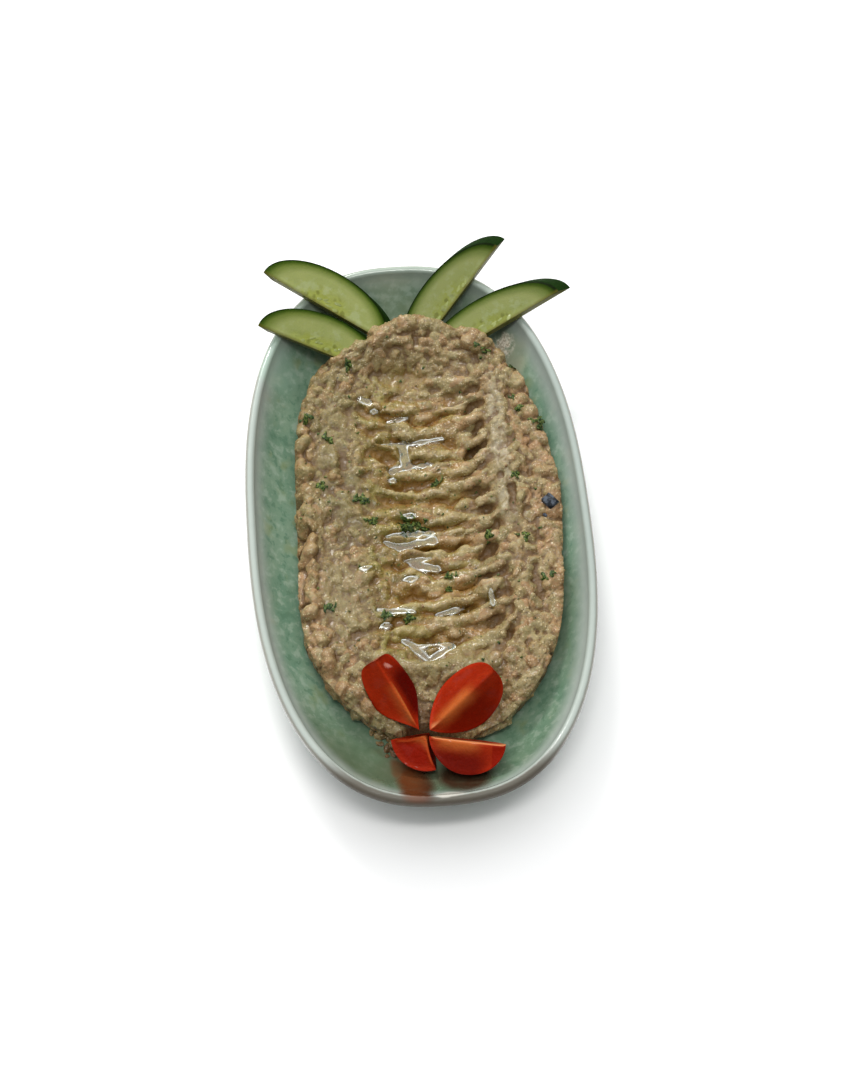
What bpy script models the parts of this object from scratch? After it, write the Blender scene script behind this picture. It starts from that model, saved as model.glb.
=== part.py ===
"""Baba ganoush spread in an oval glazed dish, with cucumber slices and tomato wedges.

Metres, +Z up. The origin is the middle of the dish's flat underside, +Y runs along
the dish to the cucumber end, and +X to the side with the higher bank of dip.
Lengths below are in millimetres and are turned into metres as each mesh is finished.
"""

import math

import bmesh
import bpy
import numpy as np
from mathutils import Vector, noise

MM = 0.001
GAP = 0.3
DOUBLES = 0.05
ON_PLANE = 0.0001

# Dish: outer half sizes, the curve of its outline, and its levels.
DISH_HALF_LENGTH = 126.0
DISH_HALF_WIDTH = 72.0
DISH_CURVE = 2.5
DISH_SEGMENTS = 76
RIM_TOP = 31.0
RIM_RADIUS = 2.0
FLOOR_LEVEL = 8.0
WALL_RUN = 26.0
WALL_RISE = 20.6
WALL_STEPS = 6
FOOT_INSET = 26.0
FOOT_ROUND = 0.8
BACK_RUN = 25.5
BACK_LEVEL = 3.4
BACK_RISE = 24.0
BACK_SHARES = (0.72, 0.45, 0.2, 0.0)
RIM_TURNS = (15.0, 55.0, 90.0, 130.0, 175.0)

# Dip: its outline, and the levels of its top.
DIP_CENTRE_X = 3.0
DIP_LEFT = 56.0
DIP_RIGHT = 57.0
DIP_HALF_LENGTH = 97.0
DIP_FAR_CURVE = 3.0
DIP_NEAR_CURVE = 2.3
BULGE_Y = 12.0
BULGE_LENGTH = 28.0
BULGE = 3.5
KNOB_CENTRE = (3.5, 88.0)
KNOB_HALF_WIDTH = 22.0
KNOB_HALF_LENGTH = 15.0
DIP_ROWS = 72
DIP_COLUMNS = 28
DIP_BOTTOM = 2.0
DIP_CROWDING = 0.45
EDGE_WANDER = 0.025
LEFT_BANK = 24.4
RIGHT_BANK = 23.6
RIGHT_CREST = 3.2
RIGHT_CREST_X = 38.0
RIGHT_CREST_RADIUS = 11.0
BANK_CHANGE = (-10.0, 35.0)
TROUGH_X = 7.0
TROUGH_HALF_WIDTH = 24.0
TROUGH_DEPTH = 4.6
TROUGH_ENDS = (-59.0, 65.0)
TROUGH_FADE = 7.0
GROOVE_FIRST = 61.2
GROOVE_PITCH = 10.1
GROOVE_DEPTH = 1.5
GROOVE_BOW = 5.0
GROOVE_WANDER = 1.6
LEFT_SLOPE_WIDTH = 10.0
RIGHT_SLOPE_WIDTH = 6.0
SLOPE_ROUNDING = 2.2
SLOPE_FOOT = 2.0
END_FALL = 8.5
END_FALL_FROM = -58.0
END_FALL_TO = -100.0
WAVES = ((0.07, 1.2), (0.14, 0.7))

# Single mounds and dents in the dip's top: x, y, radius across, radius along, height.
DIP_FORMS = (
    (4.0, 92.0, 24.0, 10.0, 6.5),
    (-24.0, 84.0, 14.0, 8.0, 2.5),
    (32.0, 84.0, 13.0, 8.0, 3.0),
    (-2.0, 72.0, 16.0, 7.0, -4.5),
    (13.0, 68.0, 6.0, 4.0, -1.5),
    (-3.0, -57.0, 10.0, 5.0, -1.2),
    (14.0, -66.0, 18.0, 7.0, 1.4),
)

# Cucumber: the half ellipse that a slanting slice of a halved cucumber makes.
SLICE_THICKNESS = 3.8
SLICE_SLANT = 6.0
SLICE_SEGMENTS = 44

# Each slice: tip, heading, pitch, bank of the skin side, half length, width, skin side.
SLICES = (
    ((-58.8, 118.3, 42.6), 152.2, 18.8, 10.5, 31.0, 17.3, -1),
    ((-62.6, 93.4, 38.5), 162.0, 20.0, 16.5, 30.0, 16.6, -1),
    ((45.6, 125.3, 41.9), 46.2, 19.0, 3.3, 33.0, 16.2, 1),
    ((69.6, 98.9, 42.8), 20.3, 19.2, 2.4, 34.3, 16.7, 1),
)

# Tomato wedges: inner tip, heading, pitch, roll, half length, radius, half angle, then
# how far the inner end is drawn in and the outer end filled out, 1 being an oval.
WEDGE_SEGMENTS = 40
WEDGE_RINGS = 16
WEDGES = (
    ((-7.8, -92.9, 23.6), 120.5, 25.0, -6.0, 16.6, 15.0, 37.0, (1.6, 0.66)),
    ((-3.7, -92.9, 23.8), 33.5, 25.0, 8.0, 17.6, 16.0, 45.0, (1.55, 0.85)),
    ((-4.2, -95.0, 22.2), -16.0, 12.0, -20.0, 15.6, 13.4, 44.0, (1.25, 0.95)),
)
# The wedge that was cut across: middle of its cut, the way down to its end, and sizes.
HALF_WEDGE_CORNER = (-5.4, -94.6, 22.5)
HALF_WEDGE_DOWN = (0.16, 0.40, -0.90)
HALF_WEDGE_TOWARD = (-0.62, -0.72, -0.43)
HALF_WEDGE_LENGTH = 14.0
HALF_WEDGE_RADIUS = 14.3
HALF_WEDGE_ANGLE = 49.0
HALF_WEDGE_ENDS = (1.0, 1.0)

COLOURS = {
    "glaze": ((0.17, 0.27, 0.20), 0.28),
    "dip": ((0.27, 0.20, 0.10), 0.55),
    "cucumber": ((0.26, 0.31, 0.08), 0.35),
    "tomato": ((0.30, 0.03, 0.005), 0.30),
}


def smooth_step(low, high, value):
    """0 below low, 1 above high, with a soft passage between."""
    share = min(max((value - low) / (high - low), 0.0), 1.0)
    return share * share * (3.0 - 2.0 * share)


def outline_point(angle, half_width, half_length, curve):
    """Point of a superellipse at this angle of the circle it is made from."""
    across = math.cos(angle)
    along = math.sin(angle)
    x = math.copysign(abs(across) ** (2.0 / curve), across) * half_width
    y = math.copysign(abs(along) ** (2.0 / curve), along) * half_length
    return x, y


def wall_level(inset):
    """Height of the dish's inside at this distance in from the rim's outer edge."""
    share = min(max((inset - 2.0 * RIM_RADIUS) / WALL_RUN, 0.0), 1.0)
    return FLOOR_LEVEL + WALL_RISE * (1.0 - share) ** 2


def back_level(inset):
    """Height of the dish's outside at this distance in from the rim's outer edge."""
    return BACK_LEVEL + BACK_RISE * (1.0 - inset / BACK_RUN) ** 2


def dish_level(x, y):
    """Height of the dish's inside under a point of the plan."""
    low = 0.0
    high = 2.0 * RIM_RADIUS + WALL_RUN
    for _ in range(16):
        middle = 0.5 * (low + high)
        across = abs(x) / (DISH_HALF_WIDTH - middle)
        along = abs(y) / (DISH_HALF_LENGTH - middle)
        if across**DISH_CURVE + along**DISH_CURVE < 1.0:
            low = middle
        else:
            high = middle
    return wall_level(low)


def link(name, mesh, collection):
    """Object of this name for a mesh, in the collection."""
    piece = bpy.data.objects.new(name, mesh)
    collection.objects.link(piece)
    return piece


def face_outwards(shape):
    """Turn the faces of a closed body so that all of them point out."""
    bmesh.ops.recalc_face_normals(shape, faces=shape.faces)
    if shape.calc_volume(signed=True) < 0.0:
        bmesh.ops.reverse_faces(shape, faces=shape.faces)


def mesh_from(name, shape):
    """Mesh in metres from a bmesh in millimetres."""
    face_outwards(shape)
    bmesh.ops.scale(shape, vec=(MM, MM, MM), verts=shape.verts)
    mesh = bpy.data.meshes.new(name)
    shape.to_mesh(mesh)
    shape.free()
    return mesh


def finish(piece, colour, angle=35.0):
    """Material, smooth shading and sharp edges for a finished sub-part."""
    base, roughness = COLOURS[colour]
    material = bpy.data.materials.new(piece.name)
    material.use_nodes = True
    shader = material.node_tree.nodes["Principled BSDF"]
    shader.inputs["Base Color"].default_value = (*base, 1.0)
    shader.inputs["Roughness"].default_value = roughness
    shader.inputs["Metallic"].default_value = 0.0
    piece.data.materials.append(material)
    piece.data.shade_smooth()
    piece.data.set_sharp_from_angle(angle=math.radians(angle))


def ring_loft(stations):
    """Closed body of oval rings, each an (inset, level), capped flat at both ends."""
    shape = bmesh.new()
    bmesh.ops.create_circle(shape, cap_ends=True, radius=1.0, segments=DISH_SEGMENTS)
    ring = sorted(shape.verts, key=lambda v: math.atan2(v.co.y, v.co.x))
    angles = [math.atan2(v.co.y, v.co.x) for v in ring]
    edges = list(shape.edges)
    for number, (inset, level) in enumerate(stations):
        if number:
            grown = bmesh.ops.extrude_edge_only(shape, edges=edges)["geom"]
            edges = [part for part in grown if isinstance(part, bmesh.types.BMEdge)]
            fresh = {part for part in grown if isinstance(part, bmesh.types.BMVert)}
            ring = [
                next(e.other_vert(v) for e in v.link_edges if e.other_vert(v) in fresh)
                for v in ring
            ]
        for vert, angle in zip(ring, angles):
            x, y = outline_point(
                angle, DISH_HALF_WIDTH - inset, DISH_HALF_LENGTH - inset, DISH_CURVE
            )
            vert.co = (x, y, level)
    bmesh.ops.contextual_create(shape, geom=edges)
    return shape


def wall_stations(gap):
    """The dish's inside from rim to floor, moved in and up by a gap."""
    stations = []
    for step in range(1, WALL_STEPS + 1):
        inset = 2.0 * RIM_RADIUS + WALL_RUN * step / WALL_STEPS
        stations.append((inset + gap, wall_level(inset) + gap))
    return stations


def make_dish(collection):
    """Shallow oval dish with a solid flat foot, curved walls and a round rim."""
    stations = [
        (FOOT_INSET + FOOT_ROUND, 0.0),
        (FOOT_INSET, FOOT_ROUND),
        (FOOT_INSET - 0.5 * FOOT_ROUND, BACK_LEVEL),
    ]
    for share in BACK_SHARES:
        inset = BACK_RUN * share
        stations.append((inset, back_level(inset)))
    rim_level = RIM_TOP - RIM_RADIUS
    for turn in RIM_TURNS:
        angle = math.radians(turn)
        inset = RIM_RADIUS * (1.0 - math.cos(angle))
        stations.append((inset, rim_level + RIM_RADIUS * math.sin(angle)))
    stations += wall_stations(0.0)
    piece = link("dish", mesh_from("dish", ring_loft(stations)), collection)
    finish(piece, "glaze", angle=50.0)
    return piece


def groove_depth(x, y):
    """How deep the spoon's crosswise marks cut into the trough here."""
    across = (x - TROUGH_X) / TROUGH_HALF_WIDTH
    bow = GROOVE_BOW * across * abs(across)
    wander = GROOVE_WANDER * noise.noise(Vector((x * 0.03, y * 0.04, 3.7)))
    turn = 2.0 * math.pi * (GROOVE_FIRST + bow + wander - y) / GROOVE_PITCH
    inside = smooth_step(-1.15, -0.75, across) * (1.0 - smooth_step(0.85, 1.3, across))
    return GROOVE_DEPTH * inside * (0.5 + 0.5 * math.cos(turn)) ** 1.4


def dip_side(x, y):
    """Half width of the main spread on the side of x, with the right side's bulge."""
    if x < DIP_CENTRE_X:
        return DIP_LEFT
    return DIP_RIGHT + BULGE * math.exp(-(((y - BULGE_Y) / BULGE_LENGTH) ** 2))


def dip_curve(y):
    """Exponent of the outline: squarer at the far end than at the near end."""
    return DIP_FAR_CURVE if y > 0.0 else DIP_NEAR_CURVE


def dip_reach(x, y):
    """Distance from the middle line to the outline on the side of x."""
    curve = dip_curve(y)
    along = min(abs(y) / DIP_HALF_LENGTH, 1.0)
    spread = dip_side(x, y) * (1.0 - along**curve) ** (1.0 / curve)
    knob_along = min(abs(y - KNOB_CENTRE[1]) / KNOB_HALF_LENGTH, 1.0)
    knob = KNOB_HALF_WIDTH * math.sqrt(1.0 - knob_along**2)
    return (spread**6 + knob**6) ** (1.0 / 6.0)


def inward(x, y, share):
    """Distance to an outline along the ray that leaves its middle through a point."""
    reach = math.hypot(x, y)
    return reach * (1.0 - share) / share if share > 0.1 else DIP_LEFT


def dip_edge_distance(x, y):
    """Distance in from the dip's outline, whichever of its two ovals is nearer."""
    curve = dip_curve(y)
    across = abs(x - DIP_CENTRE_X) / dip_side(x, y)
    along = abs(y) / DIP_HALF_LENGTH
    main = inward(x - DIP_CENTRE_X, y, (across**curve + along**curve) ** (1.0 / curve))
    knob_x = x - KNOB_CENTRE[0]
    knob_y = y - KNOB_CENTRE[1]
    share = math.hypot(knob_x / KNOB_HALF_WIDTH, knob_y / KNOB_HALF_LENGTH)
    return max(main, inward(knob_x, knob_y, share), 0.0)


def dip_level(x, y):
    """Height of the dip's top over a point of the plan."""
    rightward = smooth_step(*BANK_CHANGE, x)
    top = LEFT_BANK + (RIGHT_BANK - LEFT_BANK) * rightward
    top += RIGHT_CREST * math.exp(-(((x - RIGHT_CREST_X) / RIGHT_CREST_RADIUS) ** 2))
    near_end, far_end = TROUGH_ENDS
    window = smooth_step(near_end - TROUGH_FADE, near_end + TROUGH_FADE, y)
    window *= 1.0 - smooth_step(far_end - TROUGH_FADE, far_end + TROUGH_FADE, y)
    across = abs(x - TROUGH_X) / TROUGH_HALF_WIDTH
    top -= window * TROUGH_DEPTH * math.exp(-(across**3))
    top -= window * groove_depth(x, y)
    top -= END_FALL * smooth_step(-END_FALL_FROM, -END_FALL_TO, -y)
    for form_x, form_y, radius_x, radius_y, height in DIP_FORMS:
        fall = ((x - form_x) / radius_x) ** 2 + ((y - form_y) / radius_y) ** 2
        top += height * math.exp(-fall)
    for rate, height in WAVES:
        top += height * noise.noise(Vector((x * rate, y * rate, height)))

    width = LEFT_SLOPE_WIDTH + (RIGHT_SLOPE_WIDTH - LEFT_SLOPE_WIDTH) * rightward
    rise = 1.0 - (1.0 - min(dip_edge_distance(x, y) / width, 1.0)) ** SLOPE_ROUNDING
    foot = dish_level(x, y) - SLOPE_FOOT
    return foot + (top - foot) * rise


def dip_block():
    """The dip's top as rows across the outline, carried down to a flat bottom."""
    shape = bmesh.new()
    bmesh.ops.create_grid(shape, x_segments=DIP_COLUMNS, y_segments=DIP_ROWS, size=1.0)
    far_end = KNOB_CENTRE[1] + KNOB_HALF_LENGTH
    middle = 0.5 * (far_end - DIP_HALF_LENGTH)
    for vert in shape.verts:
        across, along = (
            DIP_CROWDING * math.sin(part * math.pi / 2.0) + (1.0 - DIP_CROWDING) * part
            for part in (vert.co.x, vert.co.y)
        )
        y = middle + (far_end - middle) * along
        x = across * dip_reach(DIP_CENTRE_X + across, y)
        level = dip_level(DIP_CENTRE_X + x, y)
        edge = 1.0 + EDGE_WANDER * noise.noise(Vector((x * 0.06, y * 0.06, 9.0)))
        vert.co = (DIP_CENTRE_X + x * edge, y, level)
    bmesh.ops.remove_doubles(shape, verts=shape.verts, dist=DOUBLES)
    border = [edge for edge in shape.edges if edge.is_boundary]
    grown = bmesh.ops.extrude_edge_only(shape, edges=border)["geom"]
    for part in grown:
        if isinstance(part, bmesh.types.BMVert):
            part.co.z = DIP_BOTTOM
    lower = [part for part in grown if isinstance(part, bmesh.types.BMEdge)]
    bmesh.ops.contextual_create(shape, geom=lower)
    return shape


def slice_frame(heading, pitch, bank, side):
    """Directions of a slice: along to its tip, out to its skin, and up off its face."""
    head = math.radians(heading)
    tilt = math.radians(pitch)
    lean = math.radians(bank)
    along = Vector(
        (math.cos(tilt) * math.cos(head), math.cos(tilt) * math.sin(head), math.sin(tilt))
    )
    level = Vector((0.0, 0.0, 1.0)).cross(along).normalized()
    upright = along.cross(level)
    skinward = math.cos(lean) * side * level + math.sin(lean) * upright
    face = along.cross(skinward) * side
    return along, skinward, face


def slice_shape(tip, heading, pitch, bank, half_length, width, side):
    """Half-ellipse slab of cucumber, its ends slanting as the cut was."""
    along, skinward, face = slice_frame(heading, pitch, bank, side)
    slant = SLICE_SLANT * side
    shape = bmesh.new()
    bmesh.ops.create_circle(shape, cap_ends=True, radius=1.0, segments=SLICE_SEGMENTS)
    bmesh.ops.bisect_plane(
        shape,
        geom=shape.verts[:] + shape.edges[:] + shape.faces[:],
        dist=ON_PLANE,
        plane_co=(0.0, 0.0, 0.0),
        plane_no=(0.0, -1.0, 0.0),
        clear_outer=True,
    )
    grown = bmesh.ops.extrude_face_region(shape, geom=shape.faces[:])["geom"]
    for part in grown:
        if isinstance(part, bmesh.types.BMVert):
            part.co.z = -1.0
    centre = Vector(tip) - half_length * along
    for vert in shape.verts:
        lower = -vert.co.z
        point = centre + along * (vert.co.x * half_length + lower * slant)
        vert.co = point + skinward * vert.co.y * width - face * lower * SLICE_THICKNESS
    return shape


def wedge_shape(base, skinward, length_way, half_length, radius, half_angle, ends):
    """Wedge of a small oval tomato between two cuts that meet on its middle line."""
    inner_power, outer_power = ends
    shape = bmesh.new()
    bmesh.ops.create_uvsphere(
        shape, u_segments=WEDGE_SEGMENTS, v_segments=WEDGE_RINGS, radius=1.0
    )
    for vert in shape.verts:
        ring = math.hypot(vert.co.x, vert.co.y)
        if ring > 0.0:
            power = inner_power if vert.co.z < 0.0 else outer_power
            squeeze = ring ** (power - 1.0)
            vert.co.x *= squeeze
            vert.co.y *= squeeze
    for turn in (-1.0, 1.0):
        angle = math.radians(half_angle)
        outward = Vector((-math.sin(angle), turn * math.cos(angle), 0.0))
        cut = bmesh.ops.bisect_plane(
            shape,
            geom=shape.verts[:] + shape.edges[:] + shape.faces[:],
            dist=ON_PLANE,
            plane_co=(0.0, 0.0, 0.0),
            plane_no=outward,
            clear_outer=True,
        )["geom_cut"]
        open_edges = [part for part in cut if isinstance(part, bmesh.types.BMEdge)]
        bmesh.ops.contextual_create(shape, geom=open_edges)
    sideward = length_way.cross(skinward)
    for vert in shape.verts:
        point = base + skinward * vert.co.x * radius + sideward * vert.co.y * radius
        vert.co = point + length_way * vert.co.z * half_length
    return shape


def whole_wedge(tip, heading, pitch, roll, half_length, radius, angle, ends):
    """Quarter or so of a tomato, lying on its skin with its inner end at the tip."""
    along, level, upright = slice_frame(heading, pitch, 0.0, 1)
    lean = math.radians(roll)
    skinward = -math.cos(lean) * upright + math.sin(lean) * level
    middle = Vector(tip) + along * half_length
    return wedge_shape(middle, skinward, along, half_length, radius, angle, ends)


def half_wedge():
    """Wedge cut once more across its middle, standing on its end with the cut up."""
    down = Vector(HALF_WEDGE_DOWN).normalized()
    toward = Vector(HALF_WEDGE_TOWARD)
    skinward = (toward - down * toward.dot(down)).normalized()
    corner = Vector(HALF_WEDGE_CORNER)
    shape = wedge_shape(
        corner,
        skinward,
        down,
        HALF_WEDGE_LENGTH,
        HALF_WEDGE_RADIUS,
        HALF_WEDGE_ANGLE,
        HALF_WEDGE_ENDS,
    )
    cut = bmesh.ops.bisect_plane(
        shape,
        geom=shape.verts[:] + shape.edges[:] + shape.faces[:],
        dist=ON_PLANE,
        plane_co=corner,
        plane_no=-down,
        clear_outer=True,
    )["geom_cut"]
    open_edges = [part for part in cut if isinstance(part, bmesh.types.BMEdge)]
    bmesh.ops.contextual_create(shape, geom=open_edges)
    return shape


def grown(shape, distance):
    """The same body with every face moved out by a distance."""
    face_outwards(shape)
    moves = {}
    for vert in shape.verts:
        normals = np.array([face.normal for face in vert.link_faces])
        move = np.linalg.pinv(normals, rcond=0.08) @ np.full(len(normals), distance)
        moves[vert] = Vector(move)
    for vert, move in moves.items():
        vert.co += move
    return shape


def cutter(name, shape, collection):
    """Hidden body that another piece is cut with."""
    piece = link(name, mesh_from(name, shape), collection)
    piece.hide_render = True
    piece.display_type = "WIRE"
    return piece


def add_boolean(piece, other, operation):
    """Exact Boolean with another object, left live on the piece."""
    modifier = piece.modifiers.new(other.name, "BOOLEAN")
    modifier.operation = operation
    modifier.solver = "EXACT"
    modifier.object = other


def make_dip(collection, cutters):
    """The dip: a block shaped on top, trimmed to the dish and round the garnish."""
    piece = link("baba_ganoush", mesh_from("baba_ganoush", dip_block()), collection)
    hollow = [(2.0 * RIM_RADIUS, 3.0 * RIM_TOP), (2.0 * RIM_RADIUS + GAP, RIM_TOP)]
    hollow += wall_stations(GAP)
    add_boolean(piece, cutter("dish_hollow", ring_loft(hollow), cutters), "INTERSECT")
    for number, sizes in enumerate(SLICES, start=1):
        room = cutter(f"slice_room_{number}", grown(slice_shape(*sizes), GAP), cutters)
        add_boolean(piece, room, "DIFFERENCE")
    for number, sizes in enumerate(WEDGES, start=1):
        room = cutter(f"wedge_room_{number}", grown(whole_wedge(*sizes), GAP), cutters)
        add_boolean(piece, room, "DIFFERENCE")
    room = cutter("half_wedge_room", grown(half_wedge(), GAP), cutters)
    add_boolean(piece, room, "DIFFERENCE")
    finish(piece, "dip", angle=60.0)
    return piece


def make_garnish(collection):
    """Four cucumber slices at the far end and four pieces of tomato at the near end."""
    for number, sizes in enumerate(SLICES, start=1):
        name = f"cucumber_slice_{number}"
        finish(link(name, mesh_from(name, slice_shape(*sizes)), collection), "cucumber")
    for number, sizes in enumerate(WEDGES, start=1):
        name = f"tomato_wedge_{number}"
        finish(link(name, mesh_from(name, whole_wedge(*sizes)), collection), "tomato")
    name = "tomato_half_wedge"
    finish(link(name, mesh_from(name, half_wedge()), collection), "tomato")


def main():
    """Clear the file and build the dish, the dip and the garnish."""
    for old in list(bpy.data.objects):
        bpy.data.objects.remove(old, do_unlink=True)
    parts = bpy.data.collections.new("baba_ganoush_dish")
    cutters = bpy.data.collections.new("cutters")
    bpy.context.scene.collection.children.link(parts)
    bpy.context.scene.collection.children.link(cutters)
    make_dish(parts)
    make_dip(parts, cutters)
    make_garnish(parts)


main()
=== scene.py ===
# Looks of the baba ganoush in its oval celadon dish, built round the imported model.
#
# Shapes are worked out in millimetres, +Z up, in the model's own frame: the origin is the
# middle of the dish's underside and +Y runs along the dish to the cucumber slices.

import math
import random

import bmesh
import bpy
from mathutils import Matrix, Vector, kdtree, noise
from mathutils.bvhtree import BVHTree


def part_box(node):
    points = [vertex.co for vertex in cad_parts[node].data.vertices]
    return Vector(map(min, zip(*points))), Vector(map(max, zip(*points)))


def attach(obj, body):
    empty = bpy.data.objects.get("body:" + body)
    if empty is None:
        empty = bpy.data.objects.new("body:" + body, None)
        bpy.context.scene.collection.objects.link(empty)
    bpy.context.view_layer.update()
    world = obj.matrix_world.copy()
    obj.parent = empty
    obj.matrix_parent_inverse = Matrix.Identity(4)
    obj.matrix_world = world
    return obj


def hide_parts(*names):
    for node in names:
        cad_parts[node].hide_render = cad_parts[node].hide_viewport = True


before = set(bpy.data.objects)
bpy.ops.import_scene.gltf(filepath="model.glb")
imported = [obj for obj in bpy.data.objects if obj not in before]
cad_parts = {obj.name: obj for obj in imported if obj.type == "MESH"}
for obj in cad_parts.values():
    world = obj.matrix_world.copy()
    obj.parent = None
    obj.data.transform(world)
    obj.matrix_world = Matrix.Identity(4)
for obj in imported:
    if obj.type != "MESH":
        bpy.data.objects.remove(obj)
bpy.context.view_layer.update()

MM = 0.001
UP = Vector((0.0, 0.0, 1.0))

# Dish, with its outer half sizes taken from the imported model.
DISH_HALF_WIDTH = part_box("dish")[1][0] / MM
DISH_HALF_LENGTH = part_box("dish")[1][1] / MM
RIM_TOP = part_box("dish")[1][2] / MM
DISH_CURVE = 2.5
DISH_SEGMENTS = 288
RIM_RADIUS = 2.0
FLOOR_LEVEL = 8.0
WALL_RUN = 26.0
WALL_RISE = 20.6
WALL_STEPS = 30
FLOOR_STEPS = 8
FOOT_INSET = 26.0
FOOT_ROUND = 0.8
BACK_RUN = 25.5
BACK_LEVEL = 3.4
BACK_RISE = 24.0
BACK_STEPS = 20
LIP_TURN = 12

# Places on the glaze: x, y, half width, half length.
# Painted shade and red-brown reflection of the tomatoes on the near wall below them.
TOMATO_SHADE_LEFT = (-11.0, -114.0, 8.5, 19.0)
TOMATO_SHADE_RIGHT = (9.0, -111.0, 13.0, 11.0)
TOMATO_SHADE_UNDER_HALF_WEDGE = (-16.0, -103.0, 5.0, 8.0)
# Painted shade on the near wall under the tomatoes.
PAINTED_SHADE_NEAR = (-3.0, -106.0, 27.0, 13.0)
# Painted light on the left wall, lifting the shadow of the left-hand slices.
PAINTED_LIGHT_LEFT = (-58.0, 82.0, 13.0, 15.0)
# Painted highlight on the near lip, between the tomato shades.
LIP_HIGHLIGHT = (1.5, -121.5, 7.5, 2.4)
DREGS = (-18.0, -91.0, 8.0, 9.0)
# Painted light on the right wall below the right-hand slices, lifting their shadow.
PAINTED_LIGHT_RIGHT = (45.0, 81.0, 12.0, 14.0)
SMUDGE_RIGHT = (45.0, 87.0, 6.5, 6.5)
SMUDGE_LEFT = (-53.0, 99.0, 2.5, 3.5)

# Dip: outline, banks, trough and grooves.
DIP_CENTRE_X = 3.0
DIP_LEFT = 56.0
DIP_RIGHT = 57.0
DIP_HALF_LENGTH = 97.0
DIP_FAR_CURVE = 3.0
DIP_NEAR_CURVE = 2.3
BULGE_Y = 12.0
BULGE_LENGTH = 28.0
BULGE = 3.5
NEAR_BULGE_Y = -66.0
NEAR_BULGE_LENGTH = 40.0
NEAR_BULGE_LEFT = 7.0
NEAR_BULGE_RIGHT = 3.0
KNOB_CENTRE = (3.5, 88.0)
KNOB_HALF_WIDTH = 22.0
KNOB_HALF_LENGTH = 15.0
DIP_ROWS = 390
DIP_COLUMNS = 232
MORSELS = 1700
HOLLOW_ROUNDS = 22
DIP_OFF_DISH = 0.1
TUCK = 0.05
UNDERSIDE_SHARES = (0.96, 0.85, 0.72, 0.6)

# The dip's most striking morsels: x, y, half length, radius, turn, height, tint.
LARGE_MORSELS = (
    (18.0, 24.0, 8.0, 3.2, 0.15, 2.6, 0.1),
    (0.0, 12.5, 8.0, 2.6, 0.05, 2.0, 0.2),
    (-2.0, -12.0, 5.0, 2.6, 0.0, 2.2, 0.3),
    (-10.0, -5.0, 1.5, 3.0, 0.0, 2.6, 0.2),
    (0.5, -57.0, 1.2, 2.0, 0.0, 2.4, 0.5),
    (-48.0, -52.0, 2.5, 3.0, 0.6, 2.3, 0.6),
    (20.0, 2.0, 7.0, 2.8, 0.3, 2.0, -0.4),
    (14.0, -3.0, 4.0, 2.4, 0.2, 1.8, 0.1),
    (59.0, 26.0, 1.5, 3.4, 0.4, 3.8, 0.9),
    (55.5, 43.0, 2.0, 4.6, 0.4, 4.4, 0.0),
    (49.0, 55.0, 1.5, 4.0, 0.9, 3.8, 0.3),
    (59.5, 8.0, 1.0, 4.0, 0.2, 4.0, 0.5),
    (56.5, -14.0, 2.0, 4.2, 0.6, 4.0, 0.1),
    (53.5, -32.0, 1.5, 4.4, 1.0, 4.2, 0.4),
    (47.5, -50.0, 1.5, 4.0, 0.8, 3.8, -0.5),
    (-50.0, 20.0, 2.0, 2.8, 1.2, 2.0, 0.8),
    (-48.5, -12.0, 1.5, 3.8, 0.8, 3.4, 0.9),
    (-51.0, -30.0, 2.0, 2.8, 0.3, 2.2, 0.4),
    (11.0, 70.0, 0.8, 2.0, 0.0, 2.2, 0.8),
)
LEFT_BANK = 24.4
RIGHT_BANK = 23.6
RIGHT_CREST = 3.2
RIGHT_CREST_X = 38.0
TROUGH_X = 7.0
TROUGH_HALF_WIDTH = 24.0
TROUGH_DEPTH = 5.4
GROOVE_FIRST = 61.2
GROOVE_PITCH = 10.1
GROOVE_DEPTH = 3.8
GROOVE_BOW = 5.0
END_FALL = 8.5

# Mounds and dents in the dip's top: x, y, radius across, radius along, height.
DIP_FORMS = (
    (4.0, 92.0, 24.0, 10.0, 6.5),
    (-24.0, 84.0, 14.0, 8.0, 2.5),
    (32.0, 84.0, 13.0, 8.0, 3.0),
    (-2.0, 72.0, 16.0, 7.0, -4.5),
    (13.0, 68.0, 6.0, 4.0, -2.5),
    (-12.0, 77.0, 5.0, 3.5, -2.0),
    (-3.0, -57.0, 10.0, 5.0, -1.6),
    (14.0, -66.0, 18.0, 7.0, 1.4),
    (-46.0, -5.0, 3.0, 36.0, 1.4),
    (-50.5, -5.0, 2.0, 32.0, -1.2),
    (18.0, 24.0, 11.0, 3.0, 1.2),
    (41.0, 12.0, 1.8, 10.0, -2.4),
    (34.0, -30.0, 1.6, 7.0, -1.4),
    (-30.0, 30.0, 2.0, 9.0, -1.2),
)

# Cucumber slices as in the model: tip, heading, pitch, bank, half length, width, skin side.
SLICE_THICKNESS = 3.8
SLICE_SLANT = 6.0
SLICE_SKIN_STEPS = 84
SLICE_CUT_STEPS = 60
SEEDS_PER_SLICE = 7
SLICES = (
    ((-58.8, 118.3, 42.6), 152.2, 18.8, 10.5, 31.0, 17.3, -1),
    ((-62.6, 93.4, 38.5), 162.0, 20.0, 16.5, 30.0, 16.6, -1),
    ((45.6, 125.3, 41.9), 46.2, 19.0, 3.3, 33.0, 16.2, 1),
    ((69.6, 98.9, 42.8), 20.3, 19.2, 2.4, 34.3, 16.7, 1),
)
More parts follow.
